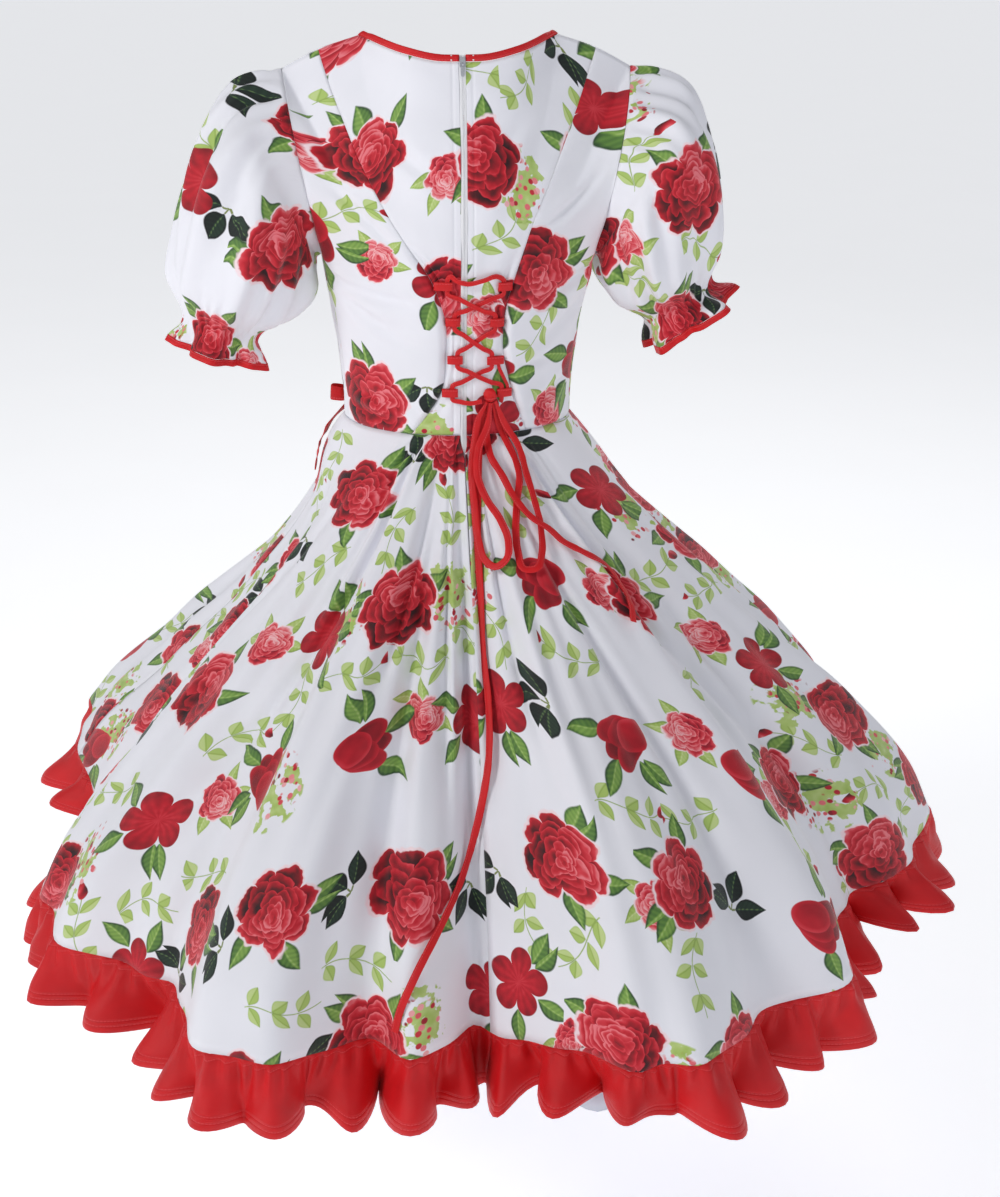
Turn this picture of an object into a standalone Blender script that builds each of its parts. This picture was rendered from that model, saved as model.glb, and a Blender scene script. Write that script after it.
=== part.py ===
"""Cueca dress: a printed dress with a laced back, puff sleeves and a gathered hem ruffle.

It hangs as it is worn, filled out with no wearer. The back faces -Y, the front faces +Y and
+Z is up. The origin lies midway between the shoulders, level with the sides of the neck.
Sizes are in metres and angles in degrees. A turn angle is 0 at the centre back and grows
towards +X, so that the centre front is at 180.
"""

import math

import bmesh
import bpy
import numpy as np

# Cloth and seams
CLOTH = 0.0012
BINDING_CLOTH = 0.0018
SEAM_GAP = 0.0003
SLEEVE_GAP = 0.0011
BINDING_WIDTH = 0.007

# Heights and lengths of the cut
WAIST_HEIGHT = -0.415
SKIRT_DROP = 0.505
UNDERSKIRT_INSET = 0.0021
RUFFLE_LENGTH = 0.074
RUFFLE_HANG = 0.80
RUFFLE_WAVES = 52
RUFFLE_SWING = 0.013
SIDE_SEAM_ANGLE = 78.0
ZIP_HALF_WIDTH = 0.0035
ZIP_BELOW_WAIST = 0.13
SKIRT_SEAMS = (-108.0, 100.0)

# Lacing and bows
LACE_WIDTH = 0.0052
LACE_THICKNESS = 0.0010
BOW_WIDTH = 0.008
LOOP_CLOTH = 0.0008
LOOP_DEPTH = 0.0044
LOOP_LIFT = 0.0007
LOOP_HEIGHT = 0.009
FRONT_BOW_WIDTH = 0.017
KNOT_GAP = 0.0009

# Grid fineness: the columns and rows of each wall
NECK_COLUMNS = 6
SHOULDER_COLUMNS = 4
ARMHOLE_COLUMNS = 8
BODICE_RISES = (0, 0.07, 0.14, 0.215, 0.30, 0.38, 0.46, 0.58, 0.72, 0.86, 1)
SKIRT_COLUMN = 0.040
SKIRT_ROWS = (0, 0.11, 0.22, 0.26, 0.45, 0.72, 1)
RUFFLE_COLUMNS = 3
RUFFLE_ROWS = 3
UNDERSKIRT_ROWS = 4
LOOP_POINTS = 8
LACE_STATIONS = 44

# Colours of the plain model
PRINT_WHITE = (0.86, 0.86, 0.92)
ROSE_RED = (0.72, 0.01, 0.02)
LINING_WHITE = (0.80, 0.83, 0.90)
ZIP_WHITE = (0.85, 0.85, 0.87)
ZIP_METAL = (0.70, 0.71, 0.73)


def table(names, *rows):
    """A small table, held as one array for each named column."""
    return dict(zip(names.split(), np.array(rows, float).T))


def read(rows, name, at, around=None):
    """A smooth curve through one column of a table, read at places along its first column."""
    keys, values = next(iter(rows.values())), rows[name]
    if around:
        at = keys[0] + np.mod(at - keys[0], around)
        keys = np.concatenate([keys[-2:] - around, keys, keys[:2] + around])
        values = np.concatenate([values[-2:], values, values[:2]])
    at = np.clip(at, keys[0], keys[-1])
    cell = np.clip(np.searchsorted(keys, at, side="right") - 1, 0, len(keys) - 2)
    slopes = np.gradient(values, keys)
    width = keys[cell + 1] - keys[cell]
    s = (at - keys[cell]) / width
    start = (1 + 2 * s) * (1 - s) ** 2 * values[cell] + s * (1 - s) ** 2 * width * slopes[cell]
    end = s * s * (3 - 2 * s) * values[cell + 1] - s * s * (1 - s) * width * slopes[cell + 1]
    return start + end


def ease(low, high, at):
    """0 below low, 1 above high, with a smooth step between them."""
    share = np.clip((at - low) / (high - low), 0.0, 1.0)
    return share * share * (3 - 2 * share)


# Level sections through the bodice, from the waist up
TORSO = table(
    "height half_width back_depth front_depth",
    (-0.415, 0.128, 0.097, 0.097),
    (-0.360, 0.131, 0.095, 0.108),
    (-0.300, 0.139, 0.098, 0.124),
    (-0.228, 0.150, 0.104, 0.132),
    (-0.120, 0.163, 0.100, 0.108),
    (-0.040, 0.174, 0.080, 0.072),
    (0.010, 0.178, 0.066, 0.050),
)

# The top edge of the bodice, as shares of half the back or half the front. The shoulder seam
# runs from the neck's side to the tip of the shoulder, and the armhole from there to the side.
NECK_SHARE = 0.36
TIP_SHARE = 0.62
BACK_NECKLINE = table(
    "share x y z",
    (0.00, 0.000, -0.074, -0.0260),
    (0.06, 0.019, -0.073, -0.0257),
    (0.18, 0.056, -0.062, -0.0190),
    (0.36, 0.104, -0.018, -0.004),
)
FRONT_NECKLINE = table(
    "share x y z",
    (0.00, 0.000, 0.0880, -0.106),
    (0.06, 0.023, 0.0855, -0.104),
    (0.18, 0.068, 0.0620, -0.082),
    (0.36, 0.104, -0.018, -0.004),
)
SHOULDER_SEAM = table(
    "share x y z",
    (0.36, 0.104, -0.018, -0.004),
    (0.49, 0.146, -0.010, -0.018),
    (0.62, 0.185, 0.000, -0.038),
)
BACK_ARMHOLE = table(
    "share x y z",
    (0.62, 0.185, 0.000, -0.038),
    (0.68, 0.181, -0.026, -0.061),
    (0.74, 0.176, -0.042, -0.090),
    (0.82, 0.168, -0.052, -0.132),
    (0.89, 0.160, -0.052, -0.172),
    (0.95, 0.153, -0.041, -0.206),
    (1.00, 0.1467, -0.0216, -0.228),
)
FRONT_ARMHOLE = table(
    "share x y z",
    (0.62, 0.185, 0.000, -0.038),
    (0.68, 0.178, 0.021, -0.062),
    (0.74, 0.170, 0.030, -0.098),
    (0.82, 0.162, 0.031, -0.146),
    (0.89, 0.156, 0.019, -0.190),
    (0.95, 0.151, 0.000, -0.217),
    (1.00, 0.1467, -0.0216, -0.228),
)

# The turn angle of each column of the front
FRONT_TURN = table(
    "share turn",
    (0.00, 180),
    (0.36, 147),
    (0.62, 122),
    (0.74, 111),
    (0.81, 104),
    (0.89, 95),
    (0.95, 86.5),
    (1.00, 78),
)

# Where the two laced seams of the back lie, measured from the zip
PRINCESS_SHARE = 0.49
LACED_SEAM = table(
    "height left right",
    (-0.415, 0.0560, 0.0700),
    (-0.390, 0.0370, 0.0610),
    (-0.371, 0.0255, 0.0540),
    (-0.350, 0.0200, 0.0485),
    (-0.330, 0.0184, 0.0440),
    (-0.284, 0.0210, 0.0445),
    (-0.265, 0.0265, 0.0480),
    (-0.245, 0.0345, 0.0540),
    (-0.204, 0.0620, 0.0670),
    (-0.160, 0.0880, 0.0830),
    (-0.104, 0.1130, 0.1040),
    (-0.040, 0.1340, 0.1230),
    (0.010, 0.1450, 0.1330),
)

# The lacing loops: how far each reaches in towards the zip, and where the lace runs in it
LOOPS = table(
    "side height inner lace",
    (-1, -0.249, 0.0120, 0.0175),
    (1, -0.251, 0.0355, 0.0415),
    (-1, -0.288, 0.0040, 0.0100),
    (1, -0.290, 0.0274, 0.0330),
    (-1, -0.330, 0.0012, 0.0068),
    (1, -0.332, 0.0246, 0.0298),
    (-1, -0.367, 0.0060, 0.0120),
    (1, -0.369, 0.0357, 0.0408),
)

# The lace's bow and its free ends, as they lie on the back of the dress
BOW_LOOP_LEFT = table(
    "x height lift",
    (0.0225, -0.3800, 0.0075),
    (0.0150, -0.3960, 0.0068),
    (0.0120, -0.4194, 0.0074),
    (0.0070, -0.4500, 0.0066),
    (0.0085, -0.4800, 0.0060),
    (0.0120, -0.5130, 0.0060),
    (0.0180, -0.5270, 0.0062),
    (0.0270, -0.5310, 0.0070),
    (0.0380, -0.5233, 0.0080),
    (0.0410, -0.5090, 0.0092),
    (0.0350, -0.4930, 0.0102),
    (0.0200, -0.4734, 0.0106),
    (0.0130, -0.4540, 0.0108),
    (0.0160, -0.4286, 0.0110),
    (0.0240, -0.4030, 0.0104),
    (0.0268, -0.3850, 0.0100),
)
BOW_LOOP_RIGHT = table(
    "x height lift",
    (0.0345, -0.3800, 0.0080),
    (0.0430, -0.4030, 0.0066),
    (0.0560, -0.4275, 0.0062),
    (0.0625, -0.4542, 0.0062),
    (0.0690, -0.4785, 0.0062),
    (0.0750, -0.5020, 0.0062),
    (0.0740, -0.5208, 0.0062),
    (0.0660, -0.5320, 0.0060),
    (0.0570, -0.5320, 0.0056),
    (0.0515, -0.5180, 0.0048),
    (0.0505, -0.4998, 0.0038),
    (0.0535, -0.4766, 0.0028),
    (0.0560, -0.4567, 0.0028),
    (0.0510, -0.4340, 0.0028),
    (0.0410, -0.4110, 0.0030),
    (0.0345, -0.3920, 0.0052),
)
LONG_END = table(
    "x height lift",
    (0.0172, -0.3870, 0.0034),
    (0.0165, -0.4200, 0.0044),
    (0.0150, -0.4350, 0.0044),
    (0.0125, -0.4665, 0.0032),
    (0.0105, -0.5187, 0.0030),
    (0.0110, -0.5600, 0.0030),
    (0.0105, -0.6083, 0.0030),
    (0.0130, -0.6429, 0.0030),
    (0.0098, -0.6900, 0.0032),
    (-0.0010, -0.7345, 0.0034),
    (-0.0180, -0.7780, 0.0036),
    (-0.0485, -0.8130, 0.0036),
    (-0.0754, -0.8486, 0.0036),
    (-0.0900, -0.8830, 0.0036),
    (-0.0950, -0.9030, 0.0036),
)
SHORT_END = table(
    "x height lift",
    (0.0270, -0.3890, 0.0022),
    (0.0245, -0.4150, 0.0036),
    (0.0285, -0.4378, 0.0060),
    (0.0385, -0.4538, 0.0090),
    (0.0490, -0.4730, 0.0102),
    (0.0665, -0.4943, 0.0102),
    (0.0800, -0.5035, 0.0102),
    (0.0960, -0.5140, 0.0060),
    (0.1175, -0.5253, 0.0040),
    (0.1440, -0.5445, 0.0040),
    (0.1596, -0.5645, 0.0040),
    (0.1655, -0.5870, 0.0040),
)

# The front bow's loops, from its knot out to their tips and back, and its two ends
FRONT_BOW_TURN = -126.0
FRONT_LOOP = table(
    "aside out up",
    (0.0100, 0.0030, 0.0010),
    (0.0240, 0.0090, 0.0050),
    (0.0400, 0.0085, 0.0080),
    (0.0460, 0.0030, 0.0080),
    (0.0400, -0.0030, 0.0060),
    (0.0240, -0.0030, 0.0030),
    (0.0105, -0.0020, 0.0000),
)
FRONT_END_REAR = table(
    "turn along lift",
    (-134, 0.020, 0.0080),
    (-126, 0.050, 0.0065),
    (-118, 0.090, 0.0055),
    (-113, 0.150, 0.0050),
)
FRONT_END_FORE = table(
    "turn along lift",
    (-144, 0.020, 0.0080),
    (-149, 0.060, 0.0060),
    (-151, 0.120, 0.0050),
    (-152, 0.190, 0.0050),
)

# The zip's pull tab: its outline and, point for point, its hole, below the hinge's axis
PULL_TAB = table(
    "outer_x outer_z hole_x hole_z",
    (-0.0021, 0.00035, -0.0012, -0.00035),
    (0.0000, 0.00035, 0.0000, -0.00035),
    (0.0021, 0.00035, 0.0012, -0.00035),
    (0.0021, -0.0012, 0.0012, -0.0012),
    (0.0020, -0.0105, 0.0012, -0.0021),
    (0.0012, -0.0119, 0.0005, -0.0021),
    (0.0000, -0.0124, 0.0000, -0.0021),
    (-0.0012, -0.0119, -0.0005, -0.0021),
    (-0.0020, -0.0105, -0.0012, -0.0021),
    (-0.0021, -0.0012, -0.0012, -0.0012),
)

# Rings of each sleeve, from the armhole to the elastic and on to the frill's edge
ELASTIC = 1.0
FRILL_EDGE = 1.16
SLEEVES = {
    "left": table(
        "along x z tilt half_height half_depth frill",
        (0.00, 0.166, -0.134, 4, 0.096, 0.056, 0.000),
        (0.10, 0.188, -0.140, 14, 0.098, 0.066, 0.000),
        (0.22, 0.200, -0.153, 24, 0.099, 0.078, 0.000),
        (0.45, 0.218, -0.192, 42, 0.091, 0.088, 0.000),
        (0.70, 0.236, -0.244, 58, 0.079, 0.084, 0.000),
        (0.88, 0.251, -0.282, 68, 0.065, 0.068, 0.000),
        (1.00, 0.260, -0.309, 74, 0.042, 0.042, 0.001),
        (1.16, 0.265, -0.336, 74, 0.049, 0.049, 0.008),
        (1.20, 0.266, -0.343, 74, 0.051, 0.051, 0.009),
    ),
    "right": table(
        "along x z tilt half_height half_depth frill",
        (0.00, 0.166, -0.134, 4, 0.096, 0.056, 0.000),
        (0.10, 0.188, -0.140, 14, 0.098, 0.066, 0.000),
        (0.22, 0.199, -0.149, 25, 0.099, 0.078, 0.000),
        (0.45, 0.214, -0.180, 40, 0.092, 0.086, 0.000),
        (0.70, 0.228, -0.226, 50, 0.080, 0.080, 0.000),
        (0.88, 0.238, -0.262, 56, 0.064, 0.066, 0.000),
        (1.00, 0.246, -0.288, 60, 0.042, 0.042, 0.001),
        (1.16, 0.262, -0.310, 56, 0.052, 0.050, 0.009),
        (1.20, 0.266, -0.316, 55, 0.054, 0.052, 0.010),
    ),
}

# The skirt's edge: how far each fold stands out from the axis, ridges and valleys in turn
HEM_FOLDS = table(
    "turn reach",
    (-180, 0.545),
    (-167, 0.482),
    (-153, 0.562),
    (-139, 0.488),
    (-125, 0.566),
    (-108, 0.512),
    (-92, 0.442),
    (-76, 0.498),
    (-58, 0.532),
    (-43, 0.488),
    (-26, 0.580),
    (-14, 0.488),
    (-8, 0.508),
    (-1, 0.446),
    (6, 0.498),
    (18, 0.592),
    (31, 0.546),
    (41, 0.570),
    (54, 0.494),
    (68, 0.545),
    (84, 0.578),
    (100, 0.500),
    (116, 0.576),
    (131, 0.490),
    (146, 0.562),
    (161, 0.482),
)
MEAN_REACH = 0.525

# Where a line of the skirt that ends at one turn angle on the hem starts at the waist
WAIST_TURN = table(
    "hem waist",
    (-180, -180),
    (-130, -112),
    (-93, -68),
    (-70, -45),
    (-46, -24),
    (-28, -15),
    (-10, -5),
    (0, 0),
    (10, 5),
    (28, 15),
    (46, 24),
    (70, 45),
    (93, 68),
    (130, 112),
    (180, 180),
)

# The skirt's fall over its petticoat: shares of its reach and of its drop along its length
FLARE = table(
    "along reach drop",
    (0.00, 0.000, 0.000),
    (0.15, 0.150, 0.150),
    (0.40, 0.425, 0.390),
    (0.70, 0.755, 0.675),
    (0.90, 0.945, 0.885),
    (1.00, 1.000, 1.000),
)


# How far the skirt falls in below the waist, round the body, before it stands out
SLACK = table(
    "turn slack",
    (-180, 0.06),
    (-150, 0.10),
    (-115, 0.15),
    (-80, 0.08),
    (-45, 0.02),
    (0, 0.0),
    (60, 0.0),
    (100, 0.02),
    (140, 0.05),
)

# Where the white underskirt shows below the ruffle: how far it drops and how wide it is
UNDERSKIRT_DIPS = table(
    "turn drop width",
    (-98, 0.036, 8),
    (11, 0.050, 7),
    (64, 0.040, 7),
)


def torso(turn, height):
    """A point on the bodice's general figure."""
    half_width = read(TORSO, "half_width", height)
    behind = np.cos(np.radians(turn)) > 0
    depth = np.where(behind, read(TORSO, "back_depth", height), read(TORSO, "front_depth", height))
    return half_width * np.sin(np.radians(turn)), -depth * np.cos(np.radians(turn))


def laced_seam_turn(side, height):
    """The turn angle of the laced seam at a height."""
    name = "left" if side < 0 else "right"
    across = read(LACED_SEAM, name, height) / read(TORSO, "half_width", height)
    return np.degrees(np.arcsin(np.clip(across, 0, 0.98)))


def back_turn(side, share, height):
    """The turn angle of a column of the back: it follows the laced seam."""
    seam = laced_seam_turn(side, height)
    inner = seam * share / PRINCESS_SHARE
    outer = seam + (SIDE_SEAM_ANGLE - seam) * (share - PRINCESS_SHARE) / (1 - PRINCESS_SHARE)
    return np.where(share < PRINCESS_SHARE, inner, outer)


def top_edge(face, share):
    """A point of the bodice's top edge, on the side of +X."""
    neckline, armhole_rows = (
        (BACK_NECKLINE, BACK_ARMHOLE) if face == "back" else (FRONT_NECKLINE, FRONT_ARMHOLE)
    )
    point = []
    for axis in "xyz":
        neck, shoulder = read(neckline, axis, share), read(SHOULDER_SEAM, axis, share)
        hole = read(armhole_rows, axis, share)
        point.append(np.where(share < NECK_SHARE, neck, np.where(share < TIP_SHARE, shoulder, hole)))
    return point


def bodice_face(face, side, share, rise):
    """A point of the back or the front, on the side of +X."""
    top = top_edge(face, share)
    height = WAIST_HEIGHT + rise * (top[2] - WAIST_HEIGHT)
    if face == "back":
        turn, top_turn = back_turn(side, share, height), back_turn(side, share, top[2])
    else:
        turn = top_turn = read(FRONT_TURN, "turn", share)
    x, y = torso(turn, height)
    top_x, top_y = torso(top_turn, top[2])
    pull = np.clip((rise - 0.30) / 0.70, 0, 1) ** (2.6 - ease(TIP_SHARE, 0.82, share))
    return x + pull * (top[0] - top_x), y + pull * (top[1] - top_y), height


def bodice(side, around, rise):
    """A point of the bodice. around is 0 at the centre back, 1 at the side and 2 at the front."""
    around, rise = np.broadcast_arrays(np.asarray(around, float), np.asarray(rise, float))
    back = bodice_face("back", side, np.clip(around, 0, 1), rise)
    front = bodice_face("front", side, np.clip(2 - around, 0, 1), rise)
    x, y, z = (np.where(around <= 1, b, f) for b, f in zip(back, front))
    laced = (1 - ease(-0.245, -0.19, z)) * ease(-0.425, -0.375, z)
    beside = around - PRINCESS_SHARE
    proud = 0.0050 * ease(-0.002, 0.020, beside) * (1 - ease(0.02, 0.18, beside))
    sunk = 0.0010 * ease(-0.30, 0, beside) * (1 - ease(0, 0.02, beside))
    push = 1 + laced * (proud - sunk) / np.hypot(x, y)
    x, y = x * push, y * push
    behind = 1 - ease(0, 0.5, around)
    return np.stack([side * (x + ZIP_HALF_WIDTH * behind), y, z], -1)


def bodice_normal(side, around, rise):
    """The bodice's outward direction. The panels of a shoulder seam share an upright one."""
    around, rise = np.broadcast_arrays(np.asarray(around, float), np.asarray(rise, float))
    across = bodice(side, around + 0.004, rise) - bodice(side, around - 0.004, rise)
    up = bodice(side, around, rise + 0.004) - bodice(side, around, rise - 0.004)
    normal = np.cross(across, up) * side
    normal /= np.linalg.norm(normal, axis=-1, keepdims=True)
    share = np.where(around <= 1, around, 2 - around)
    at_seam = ease(NECK_SHARE - 0.05, NECK_SHARE, share) * (1 - ease(TIP_SHARE, TIP_SHARE + 0.12, share))
    weight = (at_seam * ease(0.90, 1.0, rise))[..., None]
    normal = normal * (1 - weight) + np.array([0.0, 0.0, 1.0]) * weight
    return normal / np.linalg.norm(normal, axis=-1, keepdims=True)


def top_edge_away(side, around):
    """The direction in which the bodice would go on beyond its top edge."""
    ahead = bodice(side, around + 0.01, 1.0) - bodice(side, around - 0.01, 1.0)
    away = np.cross(bodice_normal(side, around, 1.0), ahead) * side
    return away / np.linalg.norm(away, axis=-1, keepdims=True)


def armhole(side, psi):
    """A sleeve's edge, a seam's gap beyond the armhole, and the bodice's outward direction there.

    psi is 0 at the shoulder, and runs down the back and up the front.
    """
    step = 180 / ARMHOLE_COLUMNS
    low = np.floor(psi / step + 1e-9) * step
    within = ((psi - low) / step)[..., None]
    found = []
    for at in (low, low + step):
        share = TIP_SHARE + (1 - TIP_SHARE) * (1 - np.abs(at - 180) / 180)
        around = np.where(at <= 180, share, 2 - share)
        edge = bodice(side, around, 1.0) + top_edge_away(side, around) * SLEEVE_GAP
        found.append((edge, bodice_normal(side, around, 1.0)))
    edge, normal = (a + within * (b - a) for a, b in zip(*found))
    return edge, normal / np.linalg.norm(normal, axis=-1, keepdims=True)


def sleeve_ring(side, psi, along):
    """A point on the plain rings of a sleeve."""
    rows = SLEEVES["left" if side < 0 else "right"]
    tilt = np.radians(read(rows, "tilt", along))
    up = read(rows, "half_height", along) * np.cos(np.radians(psi))
    x = read(rows, "x", along) + up * np.sin(tilt)
    y = -read(rows, "half_depth", along) * np.sin(np.radians(psi))
    z = read(rows, "z", along) + up * np.cos(tilt)
    return np.stack([side * x, y, z], -1)


def sleeve(side, psi, along):
    """A point of a puff sleeve with its frill, and of the binding beyond the frill."""
    psi, along = np.broadcast_arrays(np.asarray(psi, float), np.asarray(along, float))
    psi = np.mod(psi, 360)
    rows = SLEEVES["left" if side < 0 else "right"]
    points = sleeve_ring(side, psi, along)
    start = armhole(side, psi)[0] - sleeve_ring(side, psi, 0.0)
    points = points + (1 - ease(0.0, 0.42, along))[..., None] * start
    middle = np.stack([side * read(rows, "x", along), 0 * along, read(rows, "z", along)], -1)
    spoke = points - middle
    spoke /= np.linalg.norm(spoke, axis=-1, keepdims=True)
    near_top = 1 - ease(20, 95, np.abs((psi + 180) % 360 - 180))
    cap = 0.0035 * near_top * np.sin(np.radians(psi) * 9) * ease(0, 0.1, along) * (1 - ease(0.15, 0.5, along))
    shirr = 0.0022 * np.cos(np.radians(psi) * 8) * ease(0.80, 1.0, along)
    shirr = shirr * (1 - ease(1.0, 1.12, along))
    frill = read(rows, "frill", along) * np.cos(np.radians(psi) * 5 + side * 0.6 + 0.5 * np.sin(np.radians(psi) * 2))
    return points + (cap + shirr + frill)[..., None] * spoke


def hem_point(turn):
    """A point of the skirt's lower edge."""
    reach = read(HEM_FOLDS, "reach", turn, around=360)
    height = WAIST_HEIGHT - SKIRT_DROP + 0.22 * (reach - MEAN_REACH)
    angle = np.radians(turn)
    return np.stack([reach * np.sin(angle), -reach * np.cos(angle), height], -1)


def flare(turn, along):
    """The share of the hem's reach that the skirt has gained along its length."""
    slack = read(SLACK, "slack", turn, around=360) * 4 * along * (1 - along) * ease(0, 0.2, along)
    return read(FLARE, "reach", along) - slack


def skirt(turn, along):
    """A point of the skirt: turn on the hem, and along from 0 at the waist to 1 at the hem."""
    turn, along = np.broadcast_arrays(np.asarray(turn, float), np.asarray(along, float))
    turn = (turn + 180) % 360 - 180
    waist_turn = read(WAIST_TURN, "waist", turn)
    x, y = torso(waist_turn, WAIST_HEIGHT)
    beside_zip = np.sign(turn) * np.exp(-((turn / 12) ** 2))
    open_zip = 1 - ease(0.221, 0.259, along)
    beside_zip = beside_zip * (SEAM_GAP / 2 + (ZIP_HALF_WIDTH - SEAM_GAP / 2) * open_zip)
    hem = hem_point(turn)
    reach, drop = flare(turn, along), read(FLARE, "drop", along)
    out_x = x + reach * (hem[..., 0] - x) + beside_zip
    out_y = y + reach * (hem[..., 1] - y)
    z = WAIST_HEIGHT + drop * (hem[..., 2] - WAIST_HEIGHT)
    gathers = 0.0045 * np.cos(np.radians(waist_turn) * 22) * (1 - ease(14, 26, np.abs(waist_turn)))
    gathers = gathers * ease(0.0, 0.12, along) * (1 - ease(0.25, 0.6, along))
    push = 1 + gathers / np.hypot(out_x, out_y)
    return np.stack([out_x * push, out_y * push, z], -1)


def hem_lengths():
    """Turn angles round the hem, and the length of the hem up to each."""
    turns = np.linspace(-180, 180, 1441)
    edge = hem_point(turns)
    steps = np.linalg.norm(np.diff(edge, axis=0), axis=1)
    return turns, np.concatenate([[0], np.cumsum(steps)])


HEM_TURNS, HEM_LENGTHS = hem_lengths()


def ruffle(turn, down):
    """A point of the ruffle, down metres below the skirt's edge."""
    turn, down = np.broadcast_arrays(np.asarray(turn, float), np.asarray(down, float))
    turn = (turn + 180) % 360 - 180
    start = skirt(turn, 1.0)
    ahead = hem_point(turn + 3) - hem_point(turn - 3)
    ahead /= np.linalg.norm(ahead, axis=-1, keepdims=True)
    fall = start - skirt(turn, 0.96)
    fall /= np.linalg.norm(fall, axis=-1, keepdims=True)
    fall = fall + RUFFLE_HANG * (np.array([0.0, 0.0, -1.0]) - fall)
    fall /= np.linalg.norm(fall, axis=-1, keepdims=True)
    out = np.cross(fall, ahead)
    out /= np.linalg.norm(out, axis=-1, keepdims=True)
    phase = np.interp(turn, HEM_TURNS, HEM_LENGTHS) / HEM_LENGTHS[-1] * RUFFLE_WAVES * 2 * math.pi
    uneven = 0.9 * np.sin(np.radians(turn) * 5 + 0.7) + 0.7 * np.sin(np.radians(turn) * 11)
    phase = phase + uneven
    size = 1 + 0.35 * np.sin(np.radians(turn) * 7 + 1.1)
    share = down / RUFFLE_LENGTH
    swing = RUFFLE_SWING * size * ease(-0.35, 1.0, share) * ease(0, 0.12, share)
    lift = 0.008 * share * np.cos(phase) * size
    side_step = (swing * np.cos(phase) + 0.006 * share**2)[..., None] * out
    return start + fall * (down - lift)[..., None] + side_step


def dress_skirt(turn, down):
    """The skirt and its ruffle as one surface: down is 0 at the hem and negative on the skirt."""
    upper = skirt(turn, 1 + np.minimum(down, 0) / 0.65)
    return np.where((down > 0)[..., None], ruffle(turn, np.maximum(down, 0)), upper)


def underskirt(turn, along):
    """A point of the plain white underskirt, which hangs inside the skirt's folds."""
    turn, along = np.broadcast_arrays(np.asarray(turn, float), np.asarray(along, float))
    turn = (turn + 180) % 360 - 180
    waist_turn = read(WAIST_TURN, "waist", turn)
    waist = np.stack(torso(waist_turn, WAIST_HEIGHT), -1)
    waist *= 1 - UNDERSKIRT_INSET / np.linalg.norm(waist, axis=-1, keepdims=True)
    near = [read(HEM_FOLDS, "reach", turn + step, around=360) for step in (-9, 0, 0, 9)]
    reach = np.minimum(np.mean(near, axis=0), near[1]) - 0.036
    angle = np.radians(turn)
    edge = np.stack([np.sin(angle) * reach, -np.cos(angle) * reach], -1)
    plan = waist + flare(turn, along)[..., None] * (edge - waist)
    dips = zip(*(UNDERSKIRT_DIPS[name] for name in ("turn", "drop", "width")))
    dip = sum(drop * np.exp(-(((turn - at) / width) ** 2)) for at, drop, width in dips)
    drop = (SKIRT_DROP + 0.035 + dip * ease(0.6, 1, along)) * read(FLARE, "drop", along)
    return np.concatenate([plan, (WAIST_HEIGHT - 0.004 - drop)[..., None]], -1)


def normals_of(surface, u, v, step_u, step_v):
    """Unit normals of a surface function, from steps to each side of a point."""
    across = surface(u + step_u, v) - surface(u - step_u, v)
    down = surface(u, v + step_v) - surface(u, v - step_v)
    normal = np.cross(across, down)
    return normal / np.linalg.norm(normal, axis=-1, keepdims=True)


def two_faces(surface, u, v, steps, outside, thickness=CLOTH):
    """The outer and inner grids of a cloth wall over a grid of a surface function."""
    grid_u, grid_v = np.meshgrid(u, v)
    outer = surface(grid_u, grid_v)
    normal = normals_of(surface, grid_u, grid_v, *steps)
    if (normal * outside(outer)).sum() < 0:
        normal = -normal
    return outer, outer - normal * thickness


def trimmed(grid, edges, gap=SEAM_GAP / 2):
    """A grid drawn back from its neighbours by a gap at the named edges."""
    grid = grid.copy()
    ends = {"top": (0, 1, 0), "bottom": (-1, -2, 0), "first": (0, 1, 1), "last": (-1, -2, 1)}
    for edge in edges.split():
        at, inner, axis = ends[edge]
        rim = grid[at] if axis == 0 else grid[:, at]
        step = (grid[inner] if axis == 0 else grid[:, inner]) - rim
        rim += step / np.linalg.norm(step, axis=-1, keepdims=True) * gap
    return grid


def material(name, colour, roughness, metallic=0.0):
    """A plain finish, made once."""
    finish = bpy.data.materials.get(name) or bpy.data.materials.new(name)
    finish.use_nodes = True
    shader = finish.node_tree.nodes["Principled BSDF"]
    shader.inputs["Base Color"].default_value = (*colour, 1)
    shader.inputs["Roughness"].default_value = roughness
    shader.inputs["Metallic"].default_value = metallic
    return finish


FINISHES = {
    "printed_cloth": (PRINT_WHITE, 0.65),
    "red_cloth": (ROSE_RED, 0.6),
    "lining_cloth": (LINING_WHITE, 0.7),
    "zip_tape": (ZIP_WHITE, 0.8),
    "zip_metal": (ZIP_METAL, 0.35, 1.0),
}


def mesh_object(name, points, faces, finish):
    """A named object from points and faces, facing outwards, in the dress's collection."""
    points = np.asarray(points, float)
    volume = sum(
        np.dot(points[face[0]], np.cross(points[face[i]], points[face[i + 1]]))
        for face in faces
        for i in range(1, len(face) - 1)
    )
    if volume < 0:
        faces = [face[::-1] for face in faces]
    mesh = bpy.data.meshes.new(name)
    mesh.from_pydata(points.tolist(), [], faces)
    mesh.validate()
    mesh.shade_smooth()
    mesh.set_sharp_from_angle(angle=math.radians(50))
    mesh.materials.append(material(finish, *FINISHES[finish]))
    obj = bpy.data.objects.new(name, mesh)
    bpy.data.collections["Cueca dress"].objects.link(obj)
    return obj


def primitive(create, **sizes):
    """The points and faces of one of bmesh's own shapes."""
    shape = bmesh.new()
    create(shape, **sizes)
    points = np.array([vert.co for vert in shape.verts])
    faces = [[vert.index for vert in face.verts] for face in shape.faces]
    shape.free()
    return points, faces


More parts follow.
